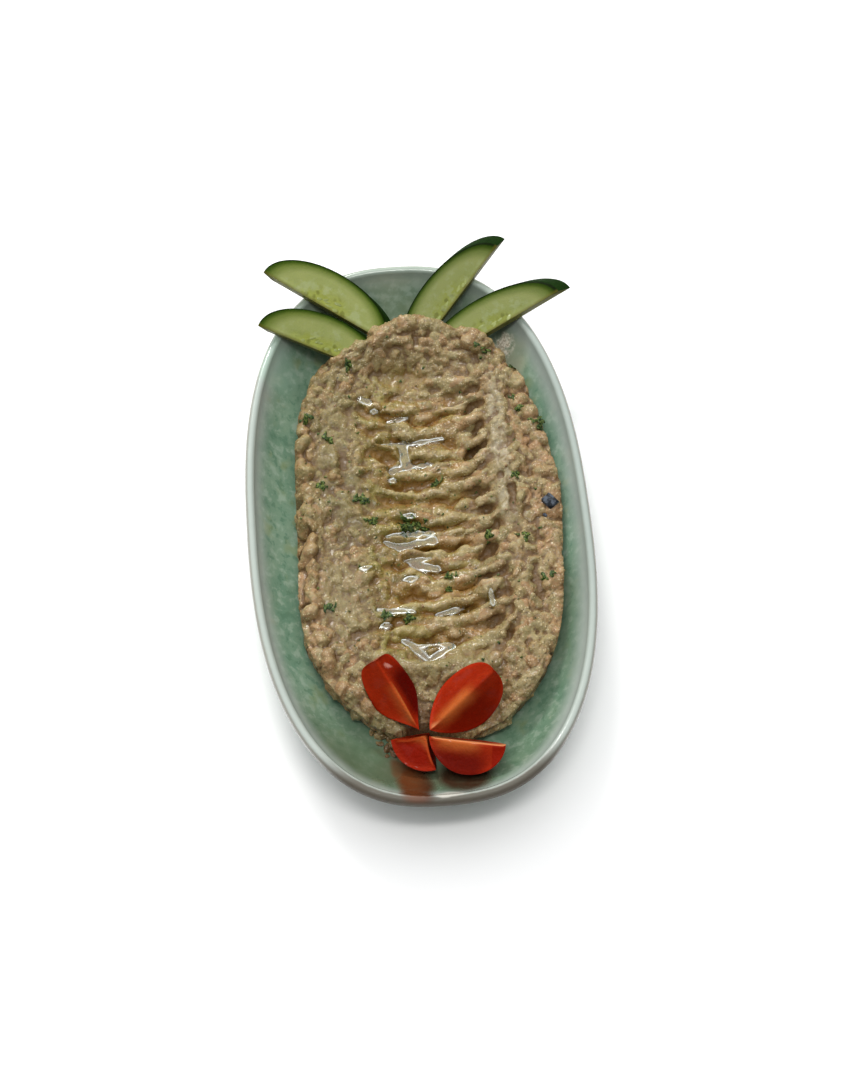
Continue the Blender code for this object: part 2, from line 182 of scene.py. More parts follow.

# Tomato wedges as in the model: tip, heading, pitch, roll, half length, radius, half
# angle, the powers that draw in the inner end and fill out the outer end, and how dark
# the painted shade on the face on the right is.
WEDGES = (
    ((-7.8, -92.9, 23.6), 120.5, 25.0, -6.0, 16.6, 15.0, 38.0, (3.1, 0.42), 1.3),
    ((-3.7, -92.9, 23.8), 33.5, 25.0, 8.0, 17.6, 16.0, 45.0, (1.55, 0.85), 0.6),
    ((-4.2, -95.0, 22.2), -16.0, 12.0, -20.0, 15.6, 13.4, 44.0, (1.25, 0.95), 0.95),
)
WEDGE_FACE_STEPS = 18
WEDGE_SKIN_STEPS = 40
WEDGE_STATIONS = 44
HALF_WEDGE_CORNER = (-5.4, -94.6, 22.5)
HALF_WEDGE_DOWN = (0.16, 0.40, -0.90)
HALF_WEDGE_TOWARD = (-0.62, -0.72, -0.43)
HALF_WEDGE_LENGTH = 14.0
HALF_WEDGE_RADIUS = 14.3
HALF_WEDGE_ANGLE = 49.0
HALF_WEDGE_CAP = (0.03, 0.3, 0.55, 0.75, 0.88, 0.96)

# Oil pools, each a group of strokes: two ends and a half width.
OIL_POOLS = (
    (
        (-14.0, 41.5, -2.0, 41.0, 0.9),
        (-2.0, 41.0, 14.0, 43.0, 0.9),
        (-3.5, 41.0, -2.5, 30.5, 1.8),
        (-9.0, 28.0, -2.0, 30.5, 1.4),
        (-2.0, 30.5, 9.0, 30.0, 0.9),
    ),
    ((-14.0, -3.5, 6.0, -3.0, 1.3), (-15.0, -6.0, -9.0, -9.0, 1.2), (-9.0, -9.0, 6.0, -7.0, 1.5)),
    ((-7.0, -15.0, 4.0, -14.5, 1.2), (-3.0, -17.0, 6.0, -19.5, 1.7)),
    ((-8.0, -24.5, -3.0, -24.0, 1.2),),
    ((-26.0, -20.0, -21.5, -19.5, 0.9),),
    ((-20.0, -38.0, -5.0, -40.0, 1.0),),
    ((4.0, -40.5, 16.0, -38.0, 1.1),),
    ((27.0, -33.0, 27.5, -40.0, 1.0),),
    ((-19.0, -45.0, -15.0, -45.0, 1.2),),
    (
        (-11.0, -51.5, -6.0, -54.5, 1.0),
        (-6.0, -54.5, 3.0, -54.3, 0.7),
        (3.0, -54.3, 10.0, -55.0, 0.8),
        (-8.5, -53.5, -1.0, -60.8, 1.3),
        (-1.0, -60.8, 9.5, -55.6, 1.2),
    ),
    ((-19.0, 62.0, -17.0, 61.0, 1.4),),
    ((-15.5, 57.0, -13.5, 56.5, 1.2),),
    ((-9.0, 52.5, 0.0, 54.0, 0.8),),
    ((-10.5, 23.0, -7.5, 22.0, 0.8),),
    ((-6.0, 6.0, -1.0, 5.0, 1.0),),
)

# Bits of dip on the wall beside the half wedge: x, y, half length, radius, turn.
CRUMBS = (
    (-16.2, -84.8, 3.6, 3.0, 0.4),
    (-21.0, -84.2, 3.4, 2.8, 2.2),
    (-26.0, -82.2, 2.8, 2.2, 1.0),
    (-18.4, -88.6, 3.3, 2.6, 1.3),
    (-22.6, -88.0, 2.8, 2.1, 0.2),
    (-17.6, -92.4, 2.6, 2.2, 2.6),
    (-20.4, -93.6, 2.4, 1.8, 0.9),
    (-23.6, -91.6, 1.6, 1.1, 0.0),
    (-18.2, -96.4, 2.0, 1.5, 1.9),
    (-26.4, -86.6, 1.5, 1.1, 1.4),
    (-20.8, -97.6, 1.0, 0.8, 0.3),
)
POOL_BED = 0.7
POOL_MARGIN = 4.5
POOL_EDGE = 1.7
OIL_SPACING = 0.3
GAP = 0.25

# Parsley: x, y, spread, how many flakes.
HERB_CLUSTERS = (
    (56.0, 44.0, 2.8, 13),
    (47.0, 72.0, 1.6, 4),
    (46.0, 57.0, 1.6, 4),
    (48.0, 50.0, 1.6, 3),
    (-45.0, 53.0, 1.6, 4),
    (-35.0, 42.0, 2.4, 5),
    (-39.0, 20.0, 2.2, 5),
    (-24.0, 13.0, 2.8, 9),
    (-4.0, 2.0, 3.8, 34),
    (1.0, 0.5, 2.2, 14),
    (-18.0, 3.0, 1.8, 5),
    (-20.0, 2.0, 1.6, 3),
    (10.0, 21.0, 1.8, 6),
    (43.0, 19.0, 1.4, 5),
    (29.0, -8.0, 1.8, 6),
    (44.0, -10.0, 2.2, 5),
    (12.0, -24.0, 2.0, 6),
    (-17.0, -41.0, 2.0, 7),
    (-7.0, -41.0, 2.0, 6),
    (-40.0, -36.0, 2.2, 6),
    (10.0, -30.0, 2.0, 5),
    (-24.0, 79.0, 2.0, 5),
    (36.0, 80.0, 2.6, 5),
    (51.0, -30.0, 2.4, 4),
)
LOOSE_FLAKES = 150
FLAKE_CORNERS = 11
FLAKE_LIFT = 0.4
FLAKE_THICKNESS = 0.14
SEEDS = 240

# Charred bits: x, y, size.
CHARRED_BITS = ((56.2, 4.0, 0.85), (53.5, -1.0, 0.3))


# ---------------------------------------------------------------- shader writing


class Value:
    """A shader socket that takes part in Python arithmetic."""

    def __init__(self, paint, socket):
        self.paint = paint
        self.socket = socket

    def math(self, operation, *terms):
        sockets = dict(enumerate(terms))
        return self.paint.node("ShaderNodeMath", {"operation": operation}, sockets)

    def __add__(self, other):
        return self.math("ADD", self, other)

    def __radd__(self, other):
        return self.math("ADD", other, self)

    def __sub__(self, other):
        return self.math("SUBTRACT", self, other)

    def __rsub__(self, other):
        return self.math("SUBTRACT", other, self)

    def __mul__(self, other):
        return self.math("MULTIPLY", self, other)

    def __rmul__(self, other):
        return self.math("MULTIPLY", other, self)

    def __truediv__(self, other):
        return self.math("DIVIDE", self, other)

    def __pow__(self, other):
        return self.math("POWER", self, other)

    def least(self, other):
        return self.math("MINIMUM", self, other)

    def most(self, other):
        return self.math("MAXIMUM", self, other)

    def step(self, low, high):
        """0 below low and 1 above high, or the other way where high is the lower."""
        sockets = {"Value": self, "From Min": low, "From Max": high}
        settings = {"interpolation_type": "SMOOTHSTEP"}
        if low > high:
            sockets = {"Value": self, "From Min": high, "From Max": low, 3: 1.0, 4: 0.0}
        return self.paint.node("ShaderNodeMapRange", settings, sockets)


class Paint:
    """A node material in the making, with its patterns in millimetres."""

    def __init__(self, name, constants):
        self.material = bpy.data.materials.new(name)
        self.material.use_nodes = True
        self.tree = self.material.node_tree
        self.shader = self.tree.nodes["Principled BSDF"]
        for socket, number in constants.items():
            self.shader.inputs[socket].default_value = number
        where = self.node("ShaderNodeTexCoord", {}, {}, "Object")
        self.place = self.vector("SCALE", where, {"Scale": 1.0 / MM})

    def node(self, kind, settings, sockets, output=0):
        """Any node: its settings first, then the values or links of its sockets."""
        made = self.tree.nodes.new(kind)
        for name, setting in settings.items():
            setattr(made, name, setting)
        for name, value in sockets.items():
            self.plug(made.inputs[name], value)
        return Value(self, made.outputs[output])

    def plug(self, socket, value):
        if isinstance(value, Value):
            self.tree.links.new(value.socket, socket)
        else:
            socket.default_value = value

    def set(self, **sockets):
        """Feed the shader's sockets, named with _ for a space."""
        for name, value in sockets.items():
            self.plug(self.shader.inputs[name.replace("_", " ")], value)

    def vector(self, operation, first, sockets=None):
        terms = {0: first, **(sockets or {})}
        return self.node("ShaderNodeVectorMath", {"operation": operation}, terms)

    def axis(self, name):
        """X, Y or Z of the place, in millimetres."""
        return self.node("ShaderNodeSeparateXYZ", {}, {"Vector": self.place}, name)

    def mark(self, name):
        """A number kept on the points of the mesh."""
        settings = {"attribute_name": name}
        return self.node("ShaderNodeAttribute", settings, {}, "Fac")

    def cloud(self, size, detail=3.0, roughness=0.5, place=None, warp=0.0):
        """Noise whose blotches are about this many millimetres across, 0 to 1."""
        sockets = {
            "Vector": place or self.place,
            "Scale": 1.0 / size,
            "Detail": detail,
            "Roughness": roughness,
            "Distortion": warp,
        }
        return self.node("ShaderNodeTexNoise", {}, sockets, "Fac")

    def cells(self, size, place, feature="F1"):
        """Distance from the middles of cells about this many millimetres across."""
        sockets = {"Vector": place, "Scale": 1.0 / size}
        return self.node("ShaderNodeTexVoronoi", {"feature": feature}, sockets, "Distance")

    def warped(self, size, amount):
        """The place, pushed about by noise."""
        sockets = {"Vector": self.place, "Scale": 1.0 / size, "Detail": 2.0}
        push = self.node("ShaderNodeTexNoise", {}, sockets, "Color")
        push = self.vector("SUBTRACT", push, {1: (0.5, 0.5, 0.5)})
        push = self.vector("SCALE", push, {"Scale": amount})
        return self.vector("ADD", self.place, {1: push})

    def mix(self, first, second, share, blend="MIX"):
        """Colour between two, by a share from 0 to 1."""
        settings = {"data_type": "RGBA", "blend_type": blend, "clamp_factor": True}
        sockets = {0: share, 6: opaque(first), 7: opaque(second)}
        return self.node("ShaderNodeMix", settings, sockets, 2)

    def coats(self, colour, *coats):
        """A colour with others laid over it, each a colour, a share and maybe a blend."""
        for coat in coats:
            colour = self.mix(colour, *coat)
        return colour

    def bumps(self, height, distance, strength=1.0):
        """Normal of a surface whose height is in the unit that distance gives."""
        sockets = {"Strength": strength, "Distance": distance * MM, "Height": height}
        return self.node("ShaderNodeBump", {}, sockets, "Normal")


def opaque(colour):
    """A colour with an alpha of 1, or a link left as it is."""
    return colour if isinstance(colour, Value) else (*colour, 1.0)


# ---------------------------------------------------------------- modelling helpers


def smooth_step(low, high, value):
    """0 below low, 1 above high, with a soft passage between."""
    share = min(max((value - low) / (high - low), 0.0), 1.0)
    return share * share * (3.0 - 2.0 * share)


def between(low, high, share):
    """Number between two, by a share; it takes a material's values too."""
    return low + (high - low) * share


def hump(value, middle, radius):
    """1 in the middle, falling softly to nothing within about two radii."""
    return math.exp(-(((value - middle) / radius) ** 2))


def span(value, first, full, last, end):
    """0 outside first and end, 1 between full and last, with soft passages."""
    return smooth_step(first, full, value) * (1.0 - smooth_step(last, end, value))


def jolt(rng, amount):
    """A random shift of up to this much along each axis."""
    return Vector([rng.uniform(-amount, amount) for _ in range(3)])


def scatter(rng, half_width, half_length):
    """A random place in an oval on the dip."""
    angle = rng.uniform(0.0, 2.0 * math.pi)
    share = rng.uniform(0.0, 1.0) ** 0.5
    x = DIP_CENTRE_X + half_width * share * math.cos(angle)
    return x, 2.0 + half_length * share * math.sin(angle)


def extrude_rim(shape, edges):
    """Extrude a loop of edges: the new loop's edges and points."""
    grown = bmesh.ops.extrude_edge_only(shape, edges=edges)["geom"]
    edges = [part for part in grown if isinstance(part, bmesh.types.BMEdge)]
    return edges, [part for part in grown if isinstance(part, bmesh.types.BMVert)]


def face_outwards(shape):
    """Turn the faces of a closed body so that all of them point out."""
    bmesh.ops.recalc_face_normals(shape, faces=shape.faces)
    if shape.calc_volume(signed=True) < 0.0:
        bmesh.ops.reverse_faces(shape, faces=shape.faces)


def loft(rings, marks, cap_first=False, cap_last=False):
    """Skin a row of rings of as many points each, extruding each from the one before.

    A point is a pair: its place, and its number for each of the named marks.
    """
    shape = bmesh.new()
    layers = [shape.verts.layers.float.new(mark) for mark in marks]
    bmesh.ops.create_circle(shape, radius=1.0, segments=len(rings[0]))
    loop = list(shape.verts)
    edges = list(shape.edges)
    if cap_first:
        bmesh.ops.contextual_create(shape, geom=edges)
    for number, ring in enumerate(rings):
        if number:
            edges, verts = extrude_rim(shape, edges)
            fresh = set(verts)
            loop = [
                next(e.other_vert(v) for e in v.link_edges if e.other_vert(v) in fresh)
                for v in loop
            ]
        for vert, (place, numbers) in zip(loop, ring):
            vert.co = place
            for layer, number_there in zip(layers, numbers):
                vert[layer] = number_there
    if cap_last:
        bmesh.ops.contextual_create(shape, geom=edges)
    bmesh.ops.remove_doubles(shape, verts=shape.verts, dist=0.02)
    face_outwards(shape)
    return shape


def add_piece(name, shape, paint, nodes=(), angle=None):
    """Make a shape in millimetres a finished piece that rides with the dish."""
    bmesh.ops.scale(shape, vec=(MM, MM, MM), verts=shape.verts)
    mesh = bpy.data.meshes.new(name)
    shape.to_mesh(mesh)
    shape.free()
    mesh.materials.append(paint.material)
    mesh.shade_smooth()
    if angle:
        mesh.set_sharp_from_angle(angle=math.radians(angle))
    piece = bpy.data.objects.new(name, mesh)
    bpy.context.scene.collection.objects.link(piece)
    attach(piece, "root")
    if nodes:
        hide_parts(*nodes)
    return piece


# ---------------------------------------------------------------- dish


def outline_point(angle, half_width, half_length):
    """Point of the dish's rounded oval at this angle of the circle it comes from."""
    across = math.cos(angle)
    along = math.sin(angle)
    x = math.copysign(abs(across) ** (2.0 / DISH_CURVE), across) * half_width
    y = math.copysign(abs(along) ** (2.0 / DISH_CURVE), along) * half_length
    return x, y


def wall_level(inset):
    """Height of the dish's inside at this distance in from the rim's outer edge."""
    share = min(max((inset - 2.0 * RIM_RADIUS) / WALL_RUN, 0.0), 1.0)
    return FLOOR_LEVEL + WALL_RISE * (1.0 - share) ** 2


def dish_level(x, y):
    """Height of the dish's inside under a point of the plan."""
    low = 0.0
    high = 2.0 * RIM_RADIUS + WALL_RUN
    for _ in range(14):
        middle = 0.5 * (low + high)
        across = abs(x) / (DISH_HALF_WIDTH - middle)
        along = abs(y) / (DISH_HALF_LENGTH - middle)
        if across**DISH_CURVE + along**DISH_CURVE < 1.0:
            low = middle
        else:
            high = middle
    return wall_level(low)


def dish_profile():
    """Insets and levels of the dish from its foot, up its back and down its inside."""
    profile = [
        (FOOT_INSET + 6.0, 0.0),
        (FOOT_INSET + FOOT_ROUND, 0.0),
        (FOOT_INSET + 0.25 * FOOT_ROUND, 0.25 * FOOT_ROUND),
        (FOOT_INSET, FOOT_ROUND),
        (FOOT_INSET - 0.25 * FOOT_ROUND, 0.6 * BACK_LEVEL),
        (FOOT_INSET - 0.5 * FOOT_ROUND, BACK_LEVEL - 0.2),
    ]
    for step in range(1, BACK_STEPS + 1):
        share = 1.0 - step / BACK_STEPS
        profile.append((BACK_RUN * share, BACK_LEVEL + BACK_RISE * (1.0 - share) ** 2))
    for turn in range(LIP_TURN, 180, LIP_TURN):
        angle = math.radians(turn)
        inset = RIM_RADIUS * (1.0 - math.cos(angle))
        profile.append((inset, RIM_TOP - RIM_RADIUS * (1.0 - math.sin(angle))))
    for step in range(1, WALL_STEPS + 1):
        inset = 2.0 * RIM_RADIUS + WALL_RUN * step / WALL_STEPS
        profile.append((inset, wall_level(inset)))
    for step in range(1, FLOOR_STEPS + 1):
        profile.append((2.0 * RIM_RADIUS + WALL_RUN + 4.0 * step, FLOOR_LEVEL))
    return profile


def make_dish():
    """Shallow oval coupe dish with a glazed body and a bare clay foot."""
    rings = []
    run = 0.0
    last = None
    for inset, level in dish_profile():
        if last:
            run += math.hypot(inset - last[0], level - last[1])
        last = (inset, level)
        ring = []
        for step in range(DISH_SEGMENTS):
            angle = 2.0 * math.pi * step / DISH_SEGMENTS
            x, y = outline_point(angle, DISH_HALF_WIDTH - inset, DISH_HALF_LENGTH - inset)
            ring.append((Vector((x, y, level)), (run,)))
        rings.append(ring)
    shape = loft(rings, ("run",), cap_first=True, cap_last=True)
    add_piece("glazed_dish", shape, paint_glaze(), ["dish"], 60.0)


def glaze_green(paint, wobble, patches, blotch, speck):
    """Green of the glaze on the floor and the wall: mottled and olive in places, with painted shade
    at the near end and a painted shadow of the dip low on the right.
    """
    across = paint.axis("X")
    along = paint.axis("Y")
    olive = (wobble * patches).step(0.02, 0.16) * 0.5 + along.step(85.0, 112.0) * 0.4
    # Painted shade at the near end, darker on the left than on the right.
    near_painted_shade = along.step(-60.0, -104.0) * (0.85 - 0.5 * across.step(-40.0, 40.0))
    # Painted shadow of the dip, low on the right wall.
    dip_shadow_right = across.step(44.0, 58.0) * along.step(-12.0, -38.0) * along.step(-92.0, -62.0)
    return paint.coats(
        paint.mix((0.130, 0.235, 0.158), (0.185, 0.285, 0.198), patches),
        ((0.092, 0.185, 0.120), blotch.step(0.46, 0.34) * 0.7),
        ((0.285, 0.375, 0.290), blotch.step(0.50, 0.68) * 0.7),
        ((0.340, 0.420, 0.345), speck.step(0.58, 0.74) * 0.3),
        ((0.200, 0.245, 0.105), olive),
        ((0.072, 0.098, 0.052), near_painted_shade),
        ((0.080, 0.118, 0.072), dip_shadow_right * 0.5),
    )


def pale_wall(paint, green, wobble, patches, blotch):
    """The green thinning out up the wall and, as painted light, lower on the right; cloudier at the
    far end, with painted light on the far wall.
    """
    height = paint.axis("Z")
    across = paint.axis("X")
    along = paint.axis("Y")
    # The glaze thins paler near the lip; the band reaches lower on the right as painted light.
    thin = (height + 2.5 * wobble + 0.8 * across.step(20.0, 60.0)).step(20.5, 29.5)
    far_right = (along + across).step(-20.0, 60.0)
    thin_glaze = paint.mix((0.372, 0.415, 0.378), (0.302, 0.345, 0.316), far_right)
    # Painted light on the far wall, lifting its own shadow.
    far_painted_light = along.step(98.0, 116.0) * height.step(15.0, 25.0)
    cloudy = along.step(84.0, 100.0) * across.step(8.0, 30.0) * height.step(10.0, 14.0)
    far_green = paint.mix((0.165, 0.250, 0.175), (0.270, 0.365, 0.285), blotch.step(0.40, 0.62))
    return paint.coats(
        green,
        (thin_glaze, thin * (0.9 - 0.5 * along.step(92.0, 110.0))),
        ((0.500, 0.550, 0.510), far_painted_light * 0.20),
        ((0.330, 0.390, 0.345), cloudy * (0.2 + 0.6 * patches)),
        (far_green, along.step(100.0, 112.0) * height.step(27.0, 22.0) * 0.6),
    )


def shade_and_smear_glaze(paint, glazed, smudge, smudge_grain, spot, patches, blotch):
    """Painted shade and reflection of the tomatoes on the near wall, painted light under the
    slices, a painted highlight on the lip, and smears of dip on the far wall.
    """
    # Painted shade and red-brown reflection of the tomatoes, redder on the right and darker on the
    # left.
    tomato_shade = spot(*TOMATO_SHADE_LEFT).most(spot(*TOMATO_SHADE_RIGHT))
    tomato_shade = tomato_shade.most(0.7 * spot(*TOMATO_SHADE_UNDER_HALF_WEDGE)) * (0.75 + 0.7 * blotch)
    left = paint.axis("X").step(-3.0, -13.0)
    shade_colour = paint.mix((0.040, 0.020, 0.010), (0.105, 0.034, 0.011), left)
    # Dip smeared on the far wall, its brightest grains painted glints.
    smear_with_glints = paint.mix((0.520, 0.440, 0.310), (0.950, 0.880, 0.740), smudge_grain.step(0.42, 0.60))
    return paint.coats(
        glazed,
        # Painted light lifting the shadow of the left-hand slices.
        ((0.330, 0.480, 0.370), spot(*PAINTED_LIGHT_LEFT) * 0.45),
        # Painted shade under the tomatoes.
        ((0.066, 0.060, 0.030), spot(*PAINTED_SHADE_NEAR) * 0.5),
        (shade_colour, (tomato_shade * 0.9).least(1.0)),
        # Painted highlight on the near lip.
        ((0.520, 0.500, 0.440), spot(*LIP_HIGHLIGHT) * 0.8),
        # Painted light lifting the shadow of the right-hand slices.
        ((0.400, 0.410, 0.290), spot(*PAINTED_LIGHT_RIGHT) * (0.25 + 0.5 * patches)),
        (smear_with_glints, smudge * 0.9),
        ((0.075, 0.040, 0.020), spot(*DREGS) * (0.3 + 0.7 * blotch)),
    )


def paint_glaze():
    """Celadon glaze: softly mottled green, pale towards the lip, bare clay at foot."""
    paint = Paint("celadon_glaze", {"IOR": 1.5, "Coat Roughness": 0.05})
    height = paint.axis("Z")
    across = paint.axis("X")
    along = paint.axis("Y")
    wobble = paint.cloud(9.0, 2.0) - 0.5
    patches = paint.cloud(22.0, 3.0, 0.55).step(0.35, 0.65)
    swirl = paint.warped(5.0, 3.0)
    blotch = paint.cloud(4.2, 3.0, 0.55, swirl)
    speck = paint.cloud(1.6, 3.0, 0.6, swirl)
    green = glaze_green(paint, wobble, patches, blotch, speck)
    run = paint.mark("run")
    lip = run + 0.5 * (paint.cloud(2.5, 3.0) - 0.5)
    edge = lip.step(RIM_RUN - 2.4, RIM_RUN - 1.2) * lip.step(RIM_RUN + 1.4, RIM_RUN + 0.2)
    rounded = lip.step(RIM_RUN - 6.0, RIM_RUN - 1.0) * lip.step(RIM_RUN + 7.0, RIM_RUN + 3.0)
    # The near lip: brown where the glaze wears thin over the clay, darker still as painted shade.
    shaded_worn_lip = lip.step(RIM_RUN - 12.0, RIM_RUN - 9.0) * lip.step(RIM_RUN + 3.4, RIM_RUN + 2.4)
    shaded_worn_lip = shaded_worn_lip * along.step(-98.0, -116.0) * 0.9
    glazed = paint.coats(
        pale_wall(paint, green, wobble, patches, blotch),
        ((0.235, 0.275, 0.245), rounded * 0.18),
        ((0.240, 0.225, 0.190), edge * 0.8),
        ((0.064, 0.050, 0.032), shaded_worn_lip),
    )
    inside = height.step(8.5, 10.0) * run.step(RIM_RUN - 1.0, RIM_RUN + 1.5)

    def spot(x, y, half_width, half_length):
        """1 in the middle of an oval on the dish's inside, 0 past its outline."""
        out = ((across - x + 3.0 * wobble) / half_width) ** 2.0
        out = out + ((along - y + 3.0 * wobble) / half_length) ** 2.0
        return out.step(1.1, 0.25) * inside

    smudge = spot(*SMUDGE_RIGHT).most(spot(*SMUDGE_LEFT)) * blotch.step(0.36, 0.56)
    smudge_grain = paint.cloud(1.1, 3.0, 0.6)
    glazed = shade_and_smear_glaze(paint, glazed, smudge, smudge_grain, spot, patches, blotch)
    clay_grain = paint.cloud(0.7, 4.0, 0.7)
    clay = paint.mix((0.300, 0.215, 0.140), (0.440, 0.340, 0.235), clay_grain)
    bare = (height + 0.5 * wobble).step(2.6, 2.2)
    dull = bare.most(shaded_worn_lip)
    ripple = paint.cloud(14.0, 2.0) * 0.5 + paint.cloud(2.2, 3.0) * 0.05
    ripple = ripple + bare * clay_grain * 0.12 + smudge * smudge_grain * 0.5
    paint.set(
        Base_Color=paint.mix(glazed, clay, bare),
        Roughness=between(0.14 + 0.16 * speck + 0.3 * smudge, 0.75, dull),
        Coat_Weight=0.6 * (1.0 - dull),
        Normal=paint.bumps(ripple, 1.0, 0.6),
    )
    return paint


def rim_run():
    """Length of the profile from its start under the foot to the lip's outermost line."""
    profile = dish_profile()
    total = 0.0
    for (inset, level), (next_inset, next_level) in zip(profile, profile[1:]):
        total += math.hypot(next_inset - inset, next_level - level)
        if next_inset < 1.0 and next_level > RIM_TOP - 1.0:
            return total
    return total


RIM_RUN = rim_run()


# ---------------------------------------------------------------- dip


def dip_side(x, y):
    """Half width of the main spread on the side of x, with its bulges."""
    near = hump(y, NEAR_BULGE_Y, NEAR_BULGE_LENGTH)
    if x < DIP_CENTRE_X:
        return DIP_LEFT + NEAR_BULGE_LEFT * near
    return DIP_RIGHT + BULGE * hump(y, BULGE_Y, BULGE_LENGTH) + NEAR_BULGE_RIGHT * near


def dip_curve(y):
    """Exponent of the outline: squarer at the far end than at the near end."""
    return DIP_FAR_CURVE if y > 0.0 else DIP_NEAR_CURVE


def dip_reach(x, y):
    """Distance from the middle line to the outline on the side of x."""
    curve = dip_curve(y)
    along = min(abs(y) / DIP_HALF_LENGTH, 1.0)
    spread = dip_side(x, y) * (1.0 - along**curve) ** (1.0 / curve)
    knob_along = min(abs(y - KNOB_CENTRE[1]) / KNOB_HALF_LENGTH, 1.0)
    knob = KNOB_HALF_WIDTH * math.sqrt(1.0 - knob_along**2)
    return (spread**6 + knob**6) ** (1.0 / 6.0)


def inward(x, y, share):
    """Distance to an outline along the ray that leaves its middle through a point."""
    reach = math.hypot(x, y)
    return reach * (1.0 - share) / share if share > 0.1 else DIP_LEFT


def dip_edge_distance(x, y):
    """Distance in from the dip's outline, whichever of its two ovals is nearer."""
    curve = dip_curve(y)
    across = abs(x - DIP_CENTRE_X) / dip_side(x, y)
    along = abs(y) / DIP_HALF_LENGTH
    main = inward(x - DIP_CENTRE_X, y, (across**curve + along**curve) ** (1.0 / curve))
    knob_x = x - KNOB_CENTRE[0]
    knob_y = y - KNOB_CENTRE[1]
    share = math.hypot(knob_x / KNOB_HALF_WIDTH, knob_y / KNOB_HALF_LENGTH)
    return max(main, inward(knob_x, knob_y, share), 0.0)


def trough_window(y):
    """1 along the trough, 0 past its two ends."""
    return span(y, -66.0, -52.0, 58.0, 72.0)


def groove_depth(x, y):
    """How deep the spoon's crosswise marks cut into the trough here."""
    across = (x - TROUGH_X) / TROUGH_HALF_WIDTH
    smile = 1.0 - smooth_step(-35.0, 15.0, y)
    bow = GROOVE_BOW * across * between(across, abs(across), smile)
    wander = 3.6 * noise.noise(Vector((x * 0.05, y * 0.05, 3.7)))
    wander += 3.2 * noise.noise(Vector((x * 0.12, y * 0.12, 8.1)))
    turn = 2.0 * math.pi * (GROOVE_FIRST + bow + wander - y) / GROOVE_PITCH
    end = 0.25 * noise.noise(Vector((y * 0.11, 3.0, 40.0)))
    inside = span(across + end, -1.6, -0.25, 0.8, 1.5)
    fade = 0.85 + 1.1 * noise.noise(Vector((x * 0.09, y * 0.13, 21.0)))
    return GROOVE_DEPTH * max(fade, 0.1) * inside * (0.5 + 0.5 * math.cos(turn)) ** 2.0


def dip_level(x, y, to_edge):
    """Height of the dip's top over a point of the plan."""
    rightward = smooth_step(-10.0, 35.0, x)
    top = between(LEFT_BANK, RIGHT_BANK, rightward)
    top += RIGHT_CREST * hump(x, RIGHT_CREST_X, 11.0)
    window = trough_window(y)
    across = abs(x - TROUGH_X) / TROUGH_HALF_WIDTH
    top -= window * TROUGH_DEPTH * math.exp(-(across**3))
    top -= window * groove_depth(x, y)
    top -= END_FALL * smooth_step(58.0, 100.0, -y)
    for form_x, form_y, radius_x, radius_y, height in DIP_FORMS:
        fall = ((x - form_x) / radius_x) ** 2 + ((y - form_y) / radius_y) ** 2
        if fall < 9.0:
            top += height * math.exp(-fall)
    top += 1.2 * noise.noise(Vector((x * 0.07, y * 0.07, 1.2)))
    top += 0.7 * noise.noise(Vector((x * 0.14, y * 0.14, 0.7)))
    width = between(9.0, 4.5, rightward)
    rise = 1.0 - (1.0 - min(to_edge / width, 1.0)) ** 2.4
    foot = dish_level(x, y) + DIP_OFF_DISH if to_edge < 20.0 else FLOOR_LEVEL
    return foot + (top - foot) * rise


def smear(x, y):
    """Where the spoon smoothed the dip: the left bank, the right crest, the near band."""
    wander = 5.0 * noise.noise(Vector((x * 0.06, y * 0.045, 30.0)))
    left = span(x + wander, -46.0, -38.0, -28.0, -18.0) * span(y, -60.0, -42.0, 56.0, 72.0)
    left *= smooth_step(-0.35, 0.1, noise.noise(Vector((x * 0.07, y * 0.05, 50.0))))
    crest = hump(x + 0.3 * wander, 36.5, 4.2) * span(y, -12.0, 4.0, 60.0, 74.0)
    near = hump(y + 0.5 * wander, -63.0, 6.0) * span(x, -26.0, -16.0, 22.0, 32.0)
    hollow = hump(x, 1.0, 13.0) * hump(y, 73.0, 6.0)
    return max(0.85 * left, 0.8 * crest, near, hollow)


def chunkiness(x, y, to_edge):
    """How lumpy the dip is here, from 0.25 where it was smoothed to 1 at its edge."""
    rim = 1.0 - smooth_step(4.0, 14.0, to_edge)
    right = smooth_step(38.0, 47.0, x)
    far = 0.9 * smooth_step(78.0, 88.0, y)
    trough = 0.7 * trough_window(y) * smooth_step(-20.0, -8.0, x)
    low = 0.8 * smooth_step(18.0, 30.0, x) * (1.0 - smooth_step(-48.0, -30.0, y))
    chunk = max(0.6, 1.15 * rim, right, far, trough, low)
    return between(chunk, 0.25, smear(x, y) * (1.0 - 0.8 * rim))


def drift(spot):
    """Smooth shift of a place, in all three directions."""
    return Vector([noise.noise(spot + Vector((0.0, 31.0 * axis, 7.0))) for axis in range(3)])


def lump(spot, size, jitter):
    """Height, from 0 to 1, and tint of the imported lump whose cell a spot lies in."""
    distances, centres = noise.voronoi(spot / size)[:2]
    tint = noise.noise(centres[0] * 3.3 + Vector((0.3, 0.7, jitter)))
    crease = 1.0 - math.exp(-5.0 * (distances[1] - distances[0]))
    crown = max(1.0 - 0.55 * distances[0] ** 2, 0.0)
    return crease * crown * between(0.55, 1.0, smooth_step(-0.45, 0.35, tint)), tint


def crumble(spot, chunk):
    """Crumbs and soft swells of the dip between its lumps."""
    warped = spot + drift(spot * 0.12) * 3.0
    small, small_tint = lump(warped, 2.3, 9.0)
    soft = noise.fractal(warped * 0.13, 0.9, 2.1, 4)
    return (0.25 + 0.5 * chunk) * (small - 0.6) + 1.0 * soft, 0.5 * small_tint


